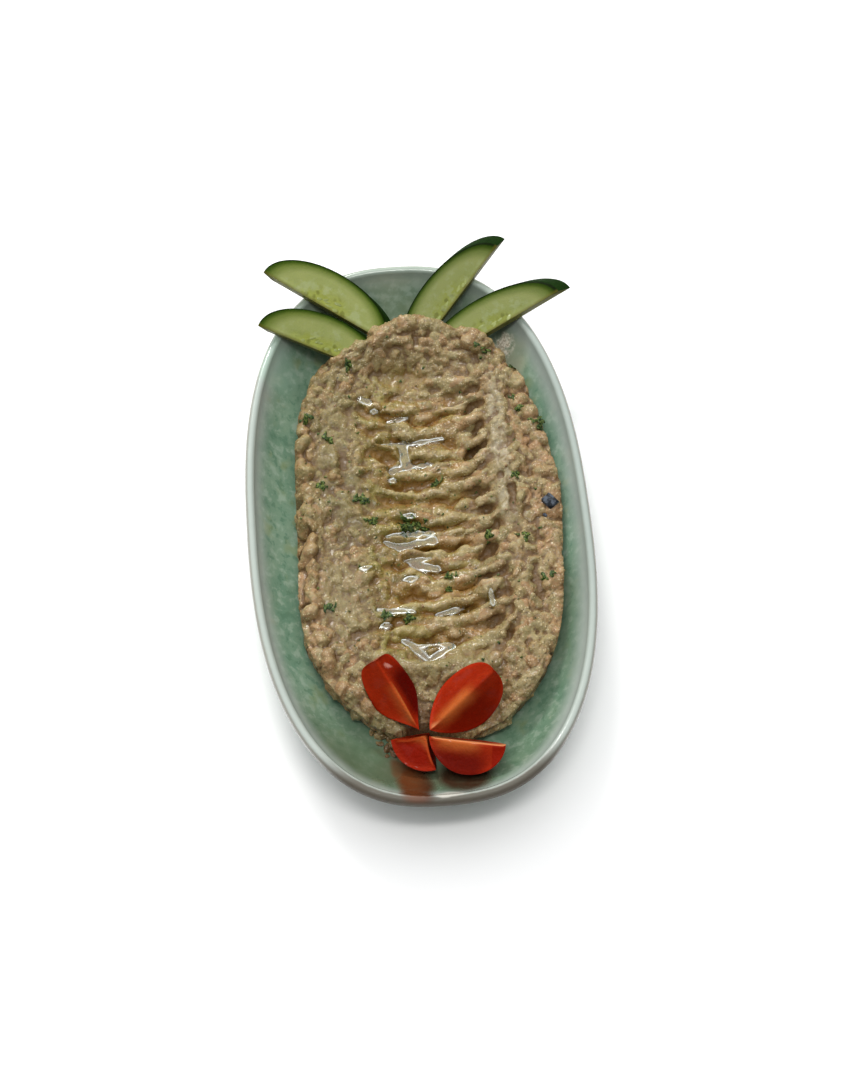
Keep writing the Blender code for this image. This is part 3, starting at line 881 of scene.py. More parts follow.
def dip_morsels(shape, rng):
    """Softened pieces of aubergine: place, way, half length, radius, height, tint."""
    morsels = []
    for x, y, length, radius, turn, height, tint in LARGE_MORSELS:
        place = Vector((x, y, dip_level(x, y, dip_edge_distance(x, y))))
        way = Vector((math.cos(turn), math.sin(turn), 0.0))
        morsels.append((place, way, length, radius, height, tint))
    while len(morsels) < MORSELS:
        vert = shape.verts[rng.randrange(len(shape.verts))]
        x, y = vert.co.x, vert.co.y
        to_edge = dip_edge_distance(x, y)
        chunk = chunkiness(x, y, to_edge)
        if rng.random() > chunk:
            continue
        in_trough = trough_window(y) * (1.0 - smooth_step(16.0, 26.0, abs(x - TROUGH_X)))
        at_rim = 1.0 - smooth_step(5.0, 13.0, to_edge)
        radius = rng.uniform(1.2, 2.4) + 1.0 * in_trough + rng.uniform(0.0, 2.4) * at_rim**2
        length = radius * rng.uniform(0.1, 1.2 + 1.4 * in_trough)
        turn = rng.uniform(-1.6, 1.6) * (1.0 - 0.8 * in_trough)
        way = vert.normal.cross(Vector((math.sin(turn), -math.cos(turn), 0.3))).normalized()
        height = radius * rng.uniform(0.5, 0.95) * between(0.35, 1.0, chunk)
        height *= 1.0 + 0.25 * at_rim + 0.1 * in_trough
        morsels.append((vert.co.copy(), way, length, radius, height, rng.uniform(-1.0, 1.0)))
    return morsels


def lift_morsels(shape):
    """How far each point of the dip is raised by the morsels in it, and with what tint."""
    shape.verts.ensure_lookup_table()
    tree = kdtree.KDTree(len(shape.verts))
    for number, vert in enumerate(shape.verts):
        tree.insert(vert.co, number)
    tree.balance()
    lifts = [(0.0, 0.0)] * len(shape.verts)
    for middle, way, length, radius, height, tint in dip_morsels(shape, random.Random(11)):
        for place, number, _ in tree.find_range(middle, length + radius):
            offset = place - middle
            along = min(max(offset.dot(way), -length), length)
            share = (offset - way * along).length / radius
            if share < 1.0:
                rounded = (1.0 - share * share) ** 0.6
                if height * rounded > lifts[number][0]:
                    lifts[number] = (height * rounded, tint)
    return lifts


def stroke_distance(x, y, stroke):
    """Distance out from the edge of a stroke of oil, negative inside it."""
    x0, y0, x1, y1, half_width = stroke
    run_x, run_y = x1 - x0, y1 - y0
    share = ((x - x0) * run_x + (y - y0) * run_y) / (run_x**2 + run_y**2)
    share = min(max(share, 0.0), 1.0)
    taper = 0.65 * abs(2.0 * share - 1.0) ** 2 if half_width < 1.35 else 0.0
    wobble = 0.7 * noise.noise(Vector((x * 0.3, y * 0.3, 17.0)))
    out = math.hypot(x - x0 - run_x * share, y - y0 - run_y * share)
    return out - half_width * (1.0 - taper) - wobble


def pool_distance(x, y, pool):
    """Distance out from a pool's outline, with its strokes melted into each other."""
    total = sum(math.exp(-2.0 * stroke_distance(x, y, stroke)) for stroke in pool)
    return -0.5 * math.log(max(total, 1e-9))


def pool_level(pool):
    """Height of a pool's flat middle, a little over the lowest ground along it."""
    heights = []
    for x0, y0, x1, y1, _ in pool:
        for share in (0.0, 0.5, 1.0):
            x, y = between(x0, x1, share), between(y0, y1, share)
            heights.append(dip_level(x, y, dip_edge_distance(x, y)))
    heights.sort()
    return heights[len(heights) // 3] + 0.1


def pool_corners(pool):
    """Lowest and highest corner of a pool on the plan, with room for its brim."""
    low = Vector((min(min(s[0], s[2]) for s in pool), min(min(s[1], s[3]) for s in pool)))
    high = Vector((max(max(s[0], s[2]) for s in pool), max(max(s[1], s[3]) for s in pool)))
    margin = Vector((POOL_MARGIN, POOL_MARGIN))
    return low - margin, high + margin


def press_pools(shape):
    """Press a smooth bed for each pool of oil into the dip."""
    for pool in OIL_POOLS:
        level = pool_level(pool)
        low, high = pool_corners(pool)
        for vert in shape.verts:
            x, y = vert.co.x, vert.co.y
            if low.x < x < high.x and low.y < y < high.y:
                share = 1.0 - smooth_step(-0.6, 1.4, pool_distance(x, y, pool))
                vert.co.z = between(vert.co.z, level - POOL_BED, share)


def press_neighbours(shape, neighbours):
    """Keep the dip under the pieces that lie on it."""
    around = [(0.0, 0.0), (0.7, 0.0), (-0.7, 0.0), (0.0, 0.7), (0.0, -0.7)]
    for neighbour in neighbours:
        surface = BVHTree.FromBMesh(neighbour)
        left = min(vert.co.x for vert in neighbour.verts) - 1.0
        right = max(vert.co.x for vert in neighbour.verts) + 1.0
        near = min(vert.co.y for vert in neighbour.verts) - 1.0
        far = max(vert.co.y for vert in neighbour.verts) + 1.0
        for vert in shape.verts:
            x, y = vert.co.x, vert.co.y
            if not (left < x < right and near < y < far):
                continue
            for shift_x, shift_y in around:
                under = surface.ray_cast(Vector((x + shift_x, y + shift_y, 2.0)), UP)[0]
                if under and under.z - GAP < vert.co.z:
                    vert.co.z = under.z - GAP


def soften(values, near, rounds):
    """Values averaged with their neighbours' again and again."""
    for _ in range(rounds):
        values = [
            (values[number] + sum(values[other] for other in around)) / (len(around) + 1)
            for number, around in enumerate(near)
        ]
    return values


def mark_hollows(shape, heights, gaps):
    """Mark how far each point lies under the softened surface round it and off any morsel."""
    hollow_mark = shape.verts.layers.float["hollow"]
    near = [[edge.other_vert(vert).index for edge in vert.link_edges] for vert in shape.verts]
    levels = [vert.co.z for vert in shape.verts]
    soft_levels = soften(levels, near, HOLLOW_ROUNDS)
    soft_heights = soften(heights, near, HOLLOW_ROUNDS)
    for number, vert in enumerate(shape.verts):
        to_edge = dip_edge_distance(vert.co.x, vert.co.y)
        in_level = soft_levels[number] - levels[number]
        in_height = soft_heights[number] - heights[number]
        under = between(in_height, in_level, smooth_step(4.0, 9.0, to_edge))
        vert[hollow_mark] = under + 0.4 * gaps[number]


def spread_dip(shape):
    """Spread a grid over the dip's uneven outline, at the height of its smooth top."""
    bmesh.ops.create_grid(shape, x_segments=DIP_COLUMNS, y_segments=DIP_ROWS, size=1.0)
    far_end = KNOB_CENTRE[1] + KNOB_HALF_LENGTH
    middle = 0.5 * (far_end - DIP_HALF_LENGTH)
    for vert in shape.verts:
        across = between(vert.co.x, math.sin(vert.co.x * math.pi / 2.0), 0.6)
        along = between(vert.co.y, math.sin(vert.co.y * math.pi / 2.0), 0.25)
        y = middle + (far_end - middle) * along
        x = across * dip_reach(DIP_CENTRE_X + across, y)
        edge = 1.0 + 0.032 * noise.noise(Vector((x * 0.06, y * 0.06, 9.0)))
        edge += 0.036 * noise.noise(Vector((x * 0.17, y * 0.17, 4.0)))
        to_edge = dip_edge_distance(DIP_CENTRE_X + x, y)
        level = dip_level(DIP_CENTRE_X + x, y, to_edge)
        vert.co = (DIP_CENTRE_X + x * edge, y, level)
    bmesh.ops.remove_doubles(shape, verts=shape.verts, dist=0.03)
    shape.normal_update()
    shape.verts.index_update()


def oiliness(x, y):
    """How much oil the dip holds here: in the trough, its grooves and the far hollow."""
    oily = trough_window(y) * (1.0 - smooth_step(15.0, 30.0, abs(x - 1.0)))
    oily *= 0.6 + 0.6 * groove_depth(x, y) / GROOVE_DEPTH
    return max(oily, 0.9 * hump(x, 1.0, 14.0) * hump(y, 72.0, 6.0))


def raise_lumps(shape):
    """Raise lumps and crumbs off the smooth top: their heights and the gaps between."""
    marks = [shape.verts.layers.float[name] for name in ("tint", "smeared", "oily")]
    moves = []
    heights = []
    gaps = []
    for vert, (lift, lift_tint) in zip(shape.verts, lift_morsels(shape)):
        x, y = vert.co.x, vert.co.y
        to_edge = dip_edge_distance(x, y)
        chunk = chunkiness(x, y, to_edge)
        height, tint = crumble(vert.co, chunk)
        smoothed = smear(x, y)
        height += lift - 1.0 - 0.7 * (1.0 - smooth_step(5.0, 14.0, to_edge))
        height += 0.3 * smoothed * noise.noise(Vector((x * 0.9, y * 0.07, 5.0)))
        moves.append(vert.normal * height * smooth_step(0.0, 1.2, to_edge))
        heights.append(height)
        gaps.append(chunk * max(1.0 - lift, 0.0))
        tint += lift_tint * smooth_step(0.0, 0.5, lift)
        for mark, number in zip(marks, (tint, smoothed, oiliness(x, y))):
            vert[mark] = number
    for vert, move in zip(shape.verts, moves):
        vert.co += move
        to_edge = dip_edge_distance(vert.co.x, vert.co.y)
        tuck = 1.0 - TUCK * (1.0 - smooth_step(0.0, 2.2, to_edge))
        vert.co.x = DIP_CENTRE_X + (vert.co.x - DIP_CENTRE_X) * tuck
        vert.co.y *= between(1.0, tuck, 0.6)
        if to_edge < 16.0:
            vert.co.z = max(vert.co.z, dish_level(vert.co.x, vert.co.y) + DIP_OFF_DISH)
    return heights, gaps


def shape_dip():
    """The dip's lumpy top, its spoon marks and a plain underside on the dish."""
    shape = bmesh.new()
    for name in ("hollow", "tint", "smeared", "oily"):
        shape.verts.layers.float.new(name)
    spread_dip(shape)
    heights, gaps = raise_lumps(shape)
    bmesh.ops.smooth_vert(
        shape, verts=shape.verts, factor=0.3, use_axis_x=True, use_axis_y=True, use_axis_z=True
    )
    mark_hollows(shape, heights, gaps)
    press_pools(shape)
    edges = [edge for edge in shape.edges if edge.is_boundary]
    for share in UNDERSIDE_SHARES:
        edges, verts = extrude_rim(shape, edges)
        for vert in verts:
            x = DIP_CENTRE_X + (vert.co.x - DIP_CENTRE_X) * share
            y = vert.co.y * share
            vert.co = (x, y, dish_level(x, y) + DIP_OFF_DISH)
    bmesh.ops.contextual_create(shape, geom=edges)
    face_outwards(shape)
    return shape


def shape_crumbs():
    """Bits of dip that slid down the wall beside the half wedge."""
    shape = bmesh.new()
    for x, y, length, radius, turn in CRUMBS:
        place = Vector((x, y, dish_level(x, y) + 0.45 * radius))
        sizes = (length, radius, 0.75 * radius, 1.0)
        matrix = Matrix.Translation(place) @ Matrix.Rotation(turn, 4, "Z") @ Matrix.Diagonal(sizes)
        made = bmesh.ops.create_icosphere(shape, subdivisions=4, radius=1.0, matrix=matrix)["verts"]
        for vert in made:
            vert.co += 0.7 * drift(vert.co * 0.45) + 0.35 * drift(vert.co * 1.3)
    return shape


def lump_colour(paint, swirl, broad, patch, fine):
    """Plain dip: cream, tan and peach lumps, with olive and grey strands."""
    tint = paint.mark("tint")
    grain = fine.step(0.3, 0.7)
    cream = paint.mix((0.190, 0.142, 0.060), (0.300, 0.234, 0.108), grain)
    tan = paint.mix((0.180, 0.108, 0.040), (0.275, 0.178, 0.074), grain)
    peach = paint.mix((0.230, 0.125, 0.055), (0.330, 0.195, 0.095), grain)
    olive = (paint.cloud(7.0, 3.0, 0.55) - 0.05 * tint).step(0.48, 0.66)
    stretched = paint.vector("MULTIPLY", swirl, {1: (0.55, 1.0, 1.0)})
    strand = paint.cloud(2.6, 5.0, 0.6, stretched, 0.8)
    grey = paint.mix((0.150, 0.122, 0.046), (0.245, 0.203, 0.090), strand)
    mottle = paint.cloud(9.0, 4.0, 0.6, paint.warped(11.0, 6.0))
    colour = paint.coats(
        cream,
        (tan, (patch + 0.08 * tint).step(0.42, 0.64)),
        ((0.150, 0.130, 0.048), olive * 0.6),
        ((0.120, 0.102, 0.046), strand.step(0.57, 0.72) * 0.5),
        ((0.340, 0.272, 0.145), strand.step(0.43, 0.28) * 0.5),
        (peach, tint.step(0.25, 0.75) * 0.75),
        ((0.290, 0.244, 0.120), tint.step(-0.35, -0.85) * 0.55),
        ((0.135, 0.098, 0.034), mottle.step(0.50, 0.64) * 0.5),
        ((0.370, 0.280, 0.150), mottle.step(0.46, 0.32) * 0.35),
        (grey, paint.mark("smeared") * (0.3 + 0.6 * broad)),
    )
    return colour, strand


def oiled_colour(paint, colour, broad, golden, across):
    """The dip yellowed where oil sits, and greener down the trough's left side."""
    yellowed = paint.mix(colour, (0.92, 0.80, 0.18), 0.9, "MULTIPLY")
    colour = paint.coats(
        colour,
        (yellowed, golden * (0.2 + 0.8 * broad)),
        ((0.340, 0.255, 0.135), paint.axis("Y").step(46.0, 80.0) * 0.15),
    )
    oil_green = paint.mix(colour, (0.78, 0.86, 0.32), 0.9, "MULTIPLY")
    greened = paint.mark("oily").step(0.0, 0.5) * across.step(8.0, -12.0)
    return paint.mix(colour, oil_green, greened * 0.6)


def flecked_colour(paint, colour, swirl, broad, patch, strand, across):
    """The dip with its scraped crest, its red and dark flecks and its rosy sides."""
    along = paint.axis("Y")
    scraped = (((across - 38.0) / 4.0) ** 2.0).step(1.0, 0.2)
    scraped = scraped * along.step(-8.0, 8.0) * along.step(74.0, 58.0)
    red = paint.cells(2.6, swirl).step(0.16, 0.08)
    dark = paint.cells(5.6, paint.warped(2.0, 1.5)).step(0.10, 0.05)
    rosy = across.step(-38.0, -47.0) + across.step(44.0, 51.0)
    return paint.coats(
        colour,
        ((0.320, 0.276, 0.190), scraped * (0.2 + 0.7 * strand.step(0.62, 0.42))),
        ((0.250, 0.080, 0.030), red * broad.step(0.45, 0.6) * 0.6),
        ((0.030, 0.036, 0.016), dark * 0.8),
        ((0.345, 0.205, 0.105), rosy * patch.step(0.35, 0.65) * 0.55),
    )


def shaded_colour(paint, colour, broad, patch, golden, across):
    """The dip with painted shade in its hollows, by the tomatoes and at its near end, painted
    highlights on its crowns and in pale dots, and dark specks.
    """
    along = paint.axis("Y")
    hollow = paint.mark("hollow")
    # Painted shade in the hollows between lumps, amber where oil pools in them.
    deep = hollow.step(0.08, 0.70)
    # Painted highlight on the crowns of the lumps.
    crown = hollow.step(-0.30, -1.05)
    # Painted glints: small pale dots on the lumps' tops, fewer in hollows and smeared places.
    glint_dots = paint.cells(1.15, paint.warped(1.5, 0.6)).step(0.30, 0.18)
    glint_dots = glint_dots * paint.cloud(3.0, 2.0).step(0.42, 0.56) * hollow.step(0.4, 0.0)
    specks = paint.cells(1.9, paint.warped(1.1, 0.8)).step(0.17, 0.10)
    # Painted shade and red-brown tomato juice in the dip beside and between the tomatoes.
    tomato_shade_on_dip = ((across + 5.5) / 7.5) ** 2.0 + ((along + 88.0) / 10.0) ** 2.0
    tomato_shade_on_dip = tomato_shade_on_dip.step(1.3, 0.3) + along.step(-86.0, -96.0) * across.step(2.0, -8.0)
    shaded = along.step(-60.0, -84.0) * (0.25 + 0.75 * patch.step(0.42, 0.58))
    left = across.step(-12.0, -26.0) * along.step(-24.0, -4.0)
    return paint.coats(
        colour,
        ((0.225, 0.108, 0.014), deep * golden * 0.75),
        ((0.108, 0.054, 0.016), deep * (1.0 - 0.75 * golden) * 0.85),
        ((0.480, 0.385, 0.225), crown * (0.10 + 0.5 * broad)),
        ((0.640, 0.540, 0.370), glint_dots * (0.75 - 0.35 * paint.mark("smeared"))),
        ((0.085, 0.055, 0.030), specks * 0.6),
        ((0.085, 0.024, 0.009), tomato_shade_on_dip.least(1.0) * (0.35 + 0.7 * patch)),
        ((0.105, 0.074, 0.030), shaded * 0.25),
        ((0.84, 0.84, 0.74), left, "MULTIPLY"),
        ((0.96, 0.94, 0.86), 1.0, "MULTIPLY"),
    )


def paint_dip():
    """Aubergine dip: beige lumps, amber where oil sits, grey-olive strands, red flecks."""
    paint = Paint(
        "aubergine_dip",
        {
            "IOR": 1.45,
            "Specular IOR Level": 0.4,
            "Coat Roughness": 0.12,
            "Subsurface Weight": 0.2,
            "Subsurface Scale": 0.002,
            "Subsurface Radius": (1.0, 0.55, 0.2),
        },
    )
    swirl = paint.warped(6.0, 5.0)
    broad = paint.cloud(16.0, 3.0, 0.55, swirl)
    patch = paint.cloud(4.5, 3.0, 0.55, swirl)
    fine = paint.cloud(0.9, 4.0, 0.7)
    golden = paint.mark("oily").step(0.1, 0.9)
    across = paint.axis("X") + 6.0 * (broad - 0.5)
    colour, strand = lump_colour(paint, swirl, broad, patch, fine)
    colour = oiled_colour(paint, colour, broad, golden, across)
    colour = flecked_colour(paint, colour, swirl, broad, patch, strand, across)
    glint = paint.cloud(0.7, 3.0, 0.6).step(0.50, 0.62)
    pits = 0.30 * paint.cells(1.3, swirl, "SMOOTH_F1") + 0.25 * paint.cells(2.4, swirl, "SMOOTH_F1")
    relief = 0.20 * fine + 0.22 * patch - pits + 0.26 * paint.cloud(0.55, 3.0, 0.6)
    relief = relief * (1.0 - 0.35 * paint.mark("smeared"))
    paint.set(
        Base_Color=shaded_colour(paint, colour, broad, patch, golden, across),
        Roughness=0.62 - 0.42 * glint - 0.06 * golden,
        Coat_Weight=0.15 + 0.3 * broad.step(0.40, 0.62) * fine + 0.25 * golden,
        Normal=paint.bumps(relief, 1.25, 0.9),
    )
    return paint


# ---------------------------------------------------------------- oil


def ground_under(ground, x, y):
    """Where a plumb line meets the dip, and which way the surface faces there."""
    place, normal, _, _ = ground.ray_cast(Vector((x, y, 80.0)), -UP)
    return place, normal


def shape_oil(ground):
    """Pools of oil, level in the middle and drawn up or down to where they meet the dip."""
    shape = bmesh.new()
    brim = shape.verts.layers.float.new("brim")
    for pool in OIL_POOLS:
        low, high = pool_corners(pool)
        half = 0.5 * (high - low)
        level = pool_level(pool)
        made = bmesh.ops.create_grid(
            shape,
            x_segments=int(2.0 * half.x / OIL_SPACING),
            y_segments=int(2.0 * half.y / OIL_SPACING),
            size=1.0,
            matrix=Matrix.LocRotScale((*(low + half), 0.0), None, (*half, 1.0)),
        )["verts"]
        dry = []
        for vert in made:
            out = pool_distance(vert.co.x, vert.co.y, pool)
            if out > POOL_EDGE:
                dry.append(vert)
                continue
            bed = ground_under(ground, vert.co.x, vert.co.y)[0].z
            meet = smooth_step(-0.5, 1.2, out)
            vert.co.z = between(level, bed, meet) + 0.12 * (1.0 - smooth_step(0.3, 1.3, out))
            vert.co.z -= 0.2 * smooth_step(1.0, 1.6, out)
            vert[brim] = hump(out, 0.05, 0.27)
        bmesh.ops.delete(shape, geom=dry, context="VERTS")
    loose = [vert for vert in shape.verts if not vert.link_faces]
    bmesh.ops.delete(shape, geom=loose, context="VERTS")
    grown = bmesh.ops.extrude_face_region(shape, geom=shape.faces[:])["geom"]
    for part in grown:
        if isinstance(part, bmesh.types.BMVert):
            bed = ground_under(ground, part.co.x, part.co.y)[0].z
            part.co.z = min(part.co.z, bed) - 0.25
    bmesh.ops.recalc_face_normals(shape, faces=shape.faces)
    return shape


def paint_oil():
    """Olive oil: clear and yellow, glassy in the middle and bright along its brim."""
    paint = Paint("olive_oil", {"Metallic": 1.0})
    brim = paint.mark("brim")
    streak = paint.cloud(6.0, 2.0)
    paint.set(
        Base_Color=paint.mix((0.80, 0.86, 0.84), (0.88, 0.92, 0.90), streak),
        Roughness=0.03 + 0.40 * brim,
    )
    clear_yellow = (0.95, 0.91, 0.62, 1.0)
    clear = paint.node("ShaderNodeBsdfTransparent", {}, {"Color": clear_yellow}, "BSDF")
    mirror = paint.node("ShaderNodeFresnel", {}, {"IOR": 1.9})
    share = (mirror + brim * (0.02 + 0.5 * streak)).least(0.5)
    mixed = paint.node(
        "ShaderNodeMixShader",
        {},
        {0: share, 1: clear, 2: Value(paint, paint.shader.outputs["BSDF"])},
    )
    output = paint.tree.nodes["Material Output"]
    paint.plug(output.inputs["Surface"], mixed)
    return paint


# ---------------------------------------------------------------- herbs and flecks


def turned_to(normal, turn):
    """Rotation that stands Z on a surface, turned about it."""
    lean = UP.rotation_difference(normal)
    return lean.to_matrix().to_4x4() @ Matrix.Rotation(turn, 4, "Z")


def add_flake(shape, place, normal, size, rng):
    """One chopped parsley leaf: jagged, cupped and a little thick."""
    lean = jolt(rng, 0.3)
    stand = turned_to((normal + lean).normalized(), rng.uniform(0.0, 2.0 * math.pi))
    made = bmesh.ops.create_circle(
        shape, cap_ends=True, cap_tris=True, radius=1.0, segments=FLAKE_CORNERS
    )["verts"]
    lobes = rng.choice((2, 3, 3))
    phase = rng.uniform(0.0, math.pi)
    slim = rng.uniform(0.45, 0.9)
    cup = rng.uniform(-0.3, 0.45)
    faces = {face for vert in made for face in vert.link_faces}
    for vert in made:
        angle = math.atan2(vert.co.y, vert.co.x)
        reach = vert.co.length
        jag = 0.72 + 0.28 * math.cos(lobes * angle + phase) + rng.uniform(-0.16, 0.16)
        x = math.cos(angle) * reach * jag * size
        y = math.sin(angle) * reach * jag * size * slim
        z = cup * (x * x + 0.5 * y * y) / size + rng.uniform(-0.08, 0.08) * size
        vert.co = place + stand.to_3x3() @ Vector((x, y, z)) + normal * FLAKE_LIFT
    grown = bmesh.ops.extrude_face_region(shape, geom=list(faces))["geom"]
    for part in grown:
        if isinstance(part, bmesh.types.BMVert):
            part.co -= normal * FLAKE_THICKNESS


def shape_parsley(ground):
    """Clusters of chopped parsley where they fell, and loose flakes between them."""
    rng = random.Random(5)
    shape = bmesh.new()
    spots = []
    for x, y, spread, count in HERB_CLUSTERS:
        for _ in range(count):
            size = rng.uniform(1.2, 2.7)
            spots.append((rng.gauss(x, spread * 0.6), rng.gauss(y, spread * 0.5), size))
    for _ in range(LOOSE_FLAKES):
        spots.append((*scatter(rng, 53.0, 90.0), rng.uniform(0.35, 1.0)))
    for x, y, size in spots:
        place, normal = ground_under(ground, x, y)
        if place:
            add_flake(shape, place, normal, size, rng)
    bmesh.ops.recalc_face_normals(shape, faces=shape.faces)
    return shape


def paint_parsley():
    """Wet chopped parsley, from blue-green to yellow-green."""
    paint = Paint("parsley", {"IOR": 1.3, "Specular IOR Level": 0.3, "Coat Roughness": 0.15})
    broad = paint.cloud(9.0, 2.0)
    fine = paint.cloud(0.8, 3.0)
    green = paint.mix((0.013, 0.030, 0.006), (0.125, 0.165, 0.034), fine.step(0.40, 0.62))
    green = paint.mix(green, (0.042, 0.075, 0.038), broad.step(0.50, 0.62) * 0.4)
    paint.set(Base_Color=green, Roughness=0.4 + 0.3 * fine, Coat_Weight=0.25 * fine)
    paint.set(Normal=paint.bumps(paint.cloud(0.5, 2.0), 0.15))
    return paint


def shape_seeds(ground):
    """Aubergine seeds and flecks of soft skin in the dip."""
    rng = random.Random(23)
    shape = bmesh.new()
    for _ in range(SEEDS):
        place, normal = ground_under(ground, *scatter(rng, 54.0, 92.0))
        if not place:
            continue
        stand = turned_to(normal, rng.uniform(0.0, 2.0 * math.pi))
        size = rng.uniform(0.5, 0.95)
        sizes = (size, size * 0.75, size * 0.3)
        matrix = Matrix.Translation(place) @ stand @ Matrix.Diagonal((*sizes, 1.0))
        bmesh.ops.create_icosphere(shape, subdivisions=1, radius=1.0, matrix=matrix)
    return shape


def paint_seeds():
    """Aubergine seeds: pale straw to brown."""
    paint = Paint("aubergine_seed", {"IOR": 1.45, "Coat Weight": 0.3})
    broad = paint.cloud(4.0, 2.0).step(0.42, 0.62)
    colour = paint.mix((0.318, 0.244, 0.126), (0.200, 0.111, 0.044), broad)
    paint.set(Base_Color=colour, Roughness=0.3 + 0.2 * paint.cloud(0.6))
    return paint


def shape_charred_skin(ground):
    """Torn bits of charred aubergine skin on the right bank."""
    rng = random.Random(3)
    shape = bmesh.new()
    for x, y, size in CHARRED_BITS:
        place, normal = ground_under(ground, x, y)
        stand = turned_to((normal + 1.5 * UP).normalized(), 0.6)
        sizes = (5.4 * size, 6.2 * size, 2.4 * size)
        matrix = Matrix.Translation(place + 0.6 * UP) @ stand @ Matrix.Diagonal((*sizes, 1.0))
        made = bmesh.ops.create_cube(shape, size=1.0, matrix=matrix)["verts"]
        for vert in made:
            vert.co += 0.8 * size * jolt(rng, 1.0)
    bmesh.ops.bevel(
        shape,
        geom=shape.edges[:],
        offset=0.35,
        segments=2,
        profile=0.5,
        affect="EDGES",
        material=-1,
    )
    bmesh.ops.triangulate(shape, faces=shape.faces)
    bmesh.ops.subdivide_edges(shape, edges=shape.edges, cuts=2, use_grid_fill=True)
    for vert in shape.verts:
        vert.co += 0.3 * drift(vert.co * 0.6)
    bmesh.ops.recalc_face_normals(shape, faces=shape.faces)
    return shape


def paint_charred_skin():
    """Charred skin: blue-black, with an ashy bloom."""
    paint = Paint("charred_skin", {"IOR": 1.35, "Specular IOR Level": 0.3})
    ash = paint.cloud(2.4, 4.0, 0.6).step(0.42, 0.58)
    colour = paint.mix((0.006, 0.008, 0.012), (0.080, 0.095, 0.118), ash)
    paint.set(Base_Color=colour, Roughness=0.35 + 0.35 * ash)
    paint.set(Normal=paint.bumps(paint.cloud(0.6, 3.0), 0.3))
    return paint


# ---------------------------------------------------------------- cucumber


def slice_frame(heading, pitch, bank, side):
    """Directions of a slice: along to its tip, out to its skin, and up off its face."""
    head = math.radians(heading)
    tilt = math.radians(pitch)
    lean = math.radians(bank)
    along = Vector(
        (math.cos(tilt) * math.cos(head), math.cos(tilt) * math.sin(head), math.sin(tilt))
    )
    level = UP.cross(along).normalized()
    upright = along.cross(level)
    skinward = math.cos(lean) * side * level + math.sin(lean) * upright
    face = along.cross(skinward) * side
    return along, skinward, face


def slice_loop():
    """Half-oval outline of a slice: round its skin, then back along its straight cut."""
    loop = []
    for step in range(SLICE_SKIN_STEPS):
        angle = math.pi * step / SLICE_SKIN_STEPS
        loop.append((math.cos(angle), math.sin(angle)))
    for step in range(SLICE_CUT_STEPS):
        loop.append((-1.0 + 2.0 * step / SLICE_CUT_STEPS, 0.0))
    return loop


def shape_slice(tip, heading, pitch, bank, half_length, width, side):
    """A slice of cucumber with softly rounded cut edges and a slightly sunk middle."""
    along, skinward, face = slice_frame(heading, pitch, bank, side)
    centre = Vector(tip) - half_length * along
    loop = slice_loop()
    middle = (0.0, 0.42)
    stations = [(share, 0.0) for share in (0.02, 0.2, 0.4, 0.6, 0.78, 0.9, 0.965)]
    stations += [(0.99, 0.03), (0.998, 0.09), (1.0, 0.2), (1.0, 0.5), (1.0, 0.8)]
    stations += [(0.998, 0.91), (0.99, 0.97)]
    stations += [(share, 1.0) for share in (0.965, 0.85, 0.6, 0.3, 0.02)]
    rings = []
    for share, lower in stations:
        ring = []
        for across, out in loop:
            u = middle[0] + (across - middle[0]) * share
            v = middle[1] + (out - middle[1]) * share
            point = centre + along * (u * half_length + lower * SLICE_SLANT * side)
            sunk = 0.35 * (1.0 - share) ** 0.5 if lower < 0.5 else 0.0
            sunk += 0.25 * hump(v, 0.16, 0.12) * (1.0 - abs(u)) * (lower < 0.5)
            wave = 0.18 * noise.noise(Vector((u * 6.0, v * 4.0, heading)))
            wave *= smooth_step(1.0, 0.9, share) if share < 1.0 else 0.0
            depth = lower * SLICE_THICKNESS + sunk * (1.0 if share < 0.98 else 0.0) + wave * 0.5
            point = point + skinward * v * width - face * depth
            # The right-hand slices carry painted shade.
            ring.append((point, (u, v, 0.27 if side > 0 else 0.0)))
        rings.append(ring)
    return loft(rings, ("slice_along", "slice_out", "slice_shade"), True, True)


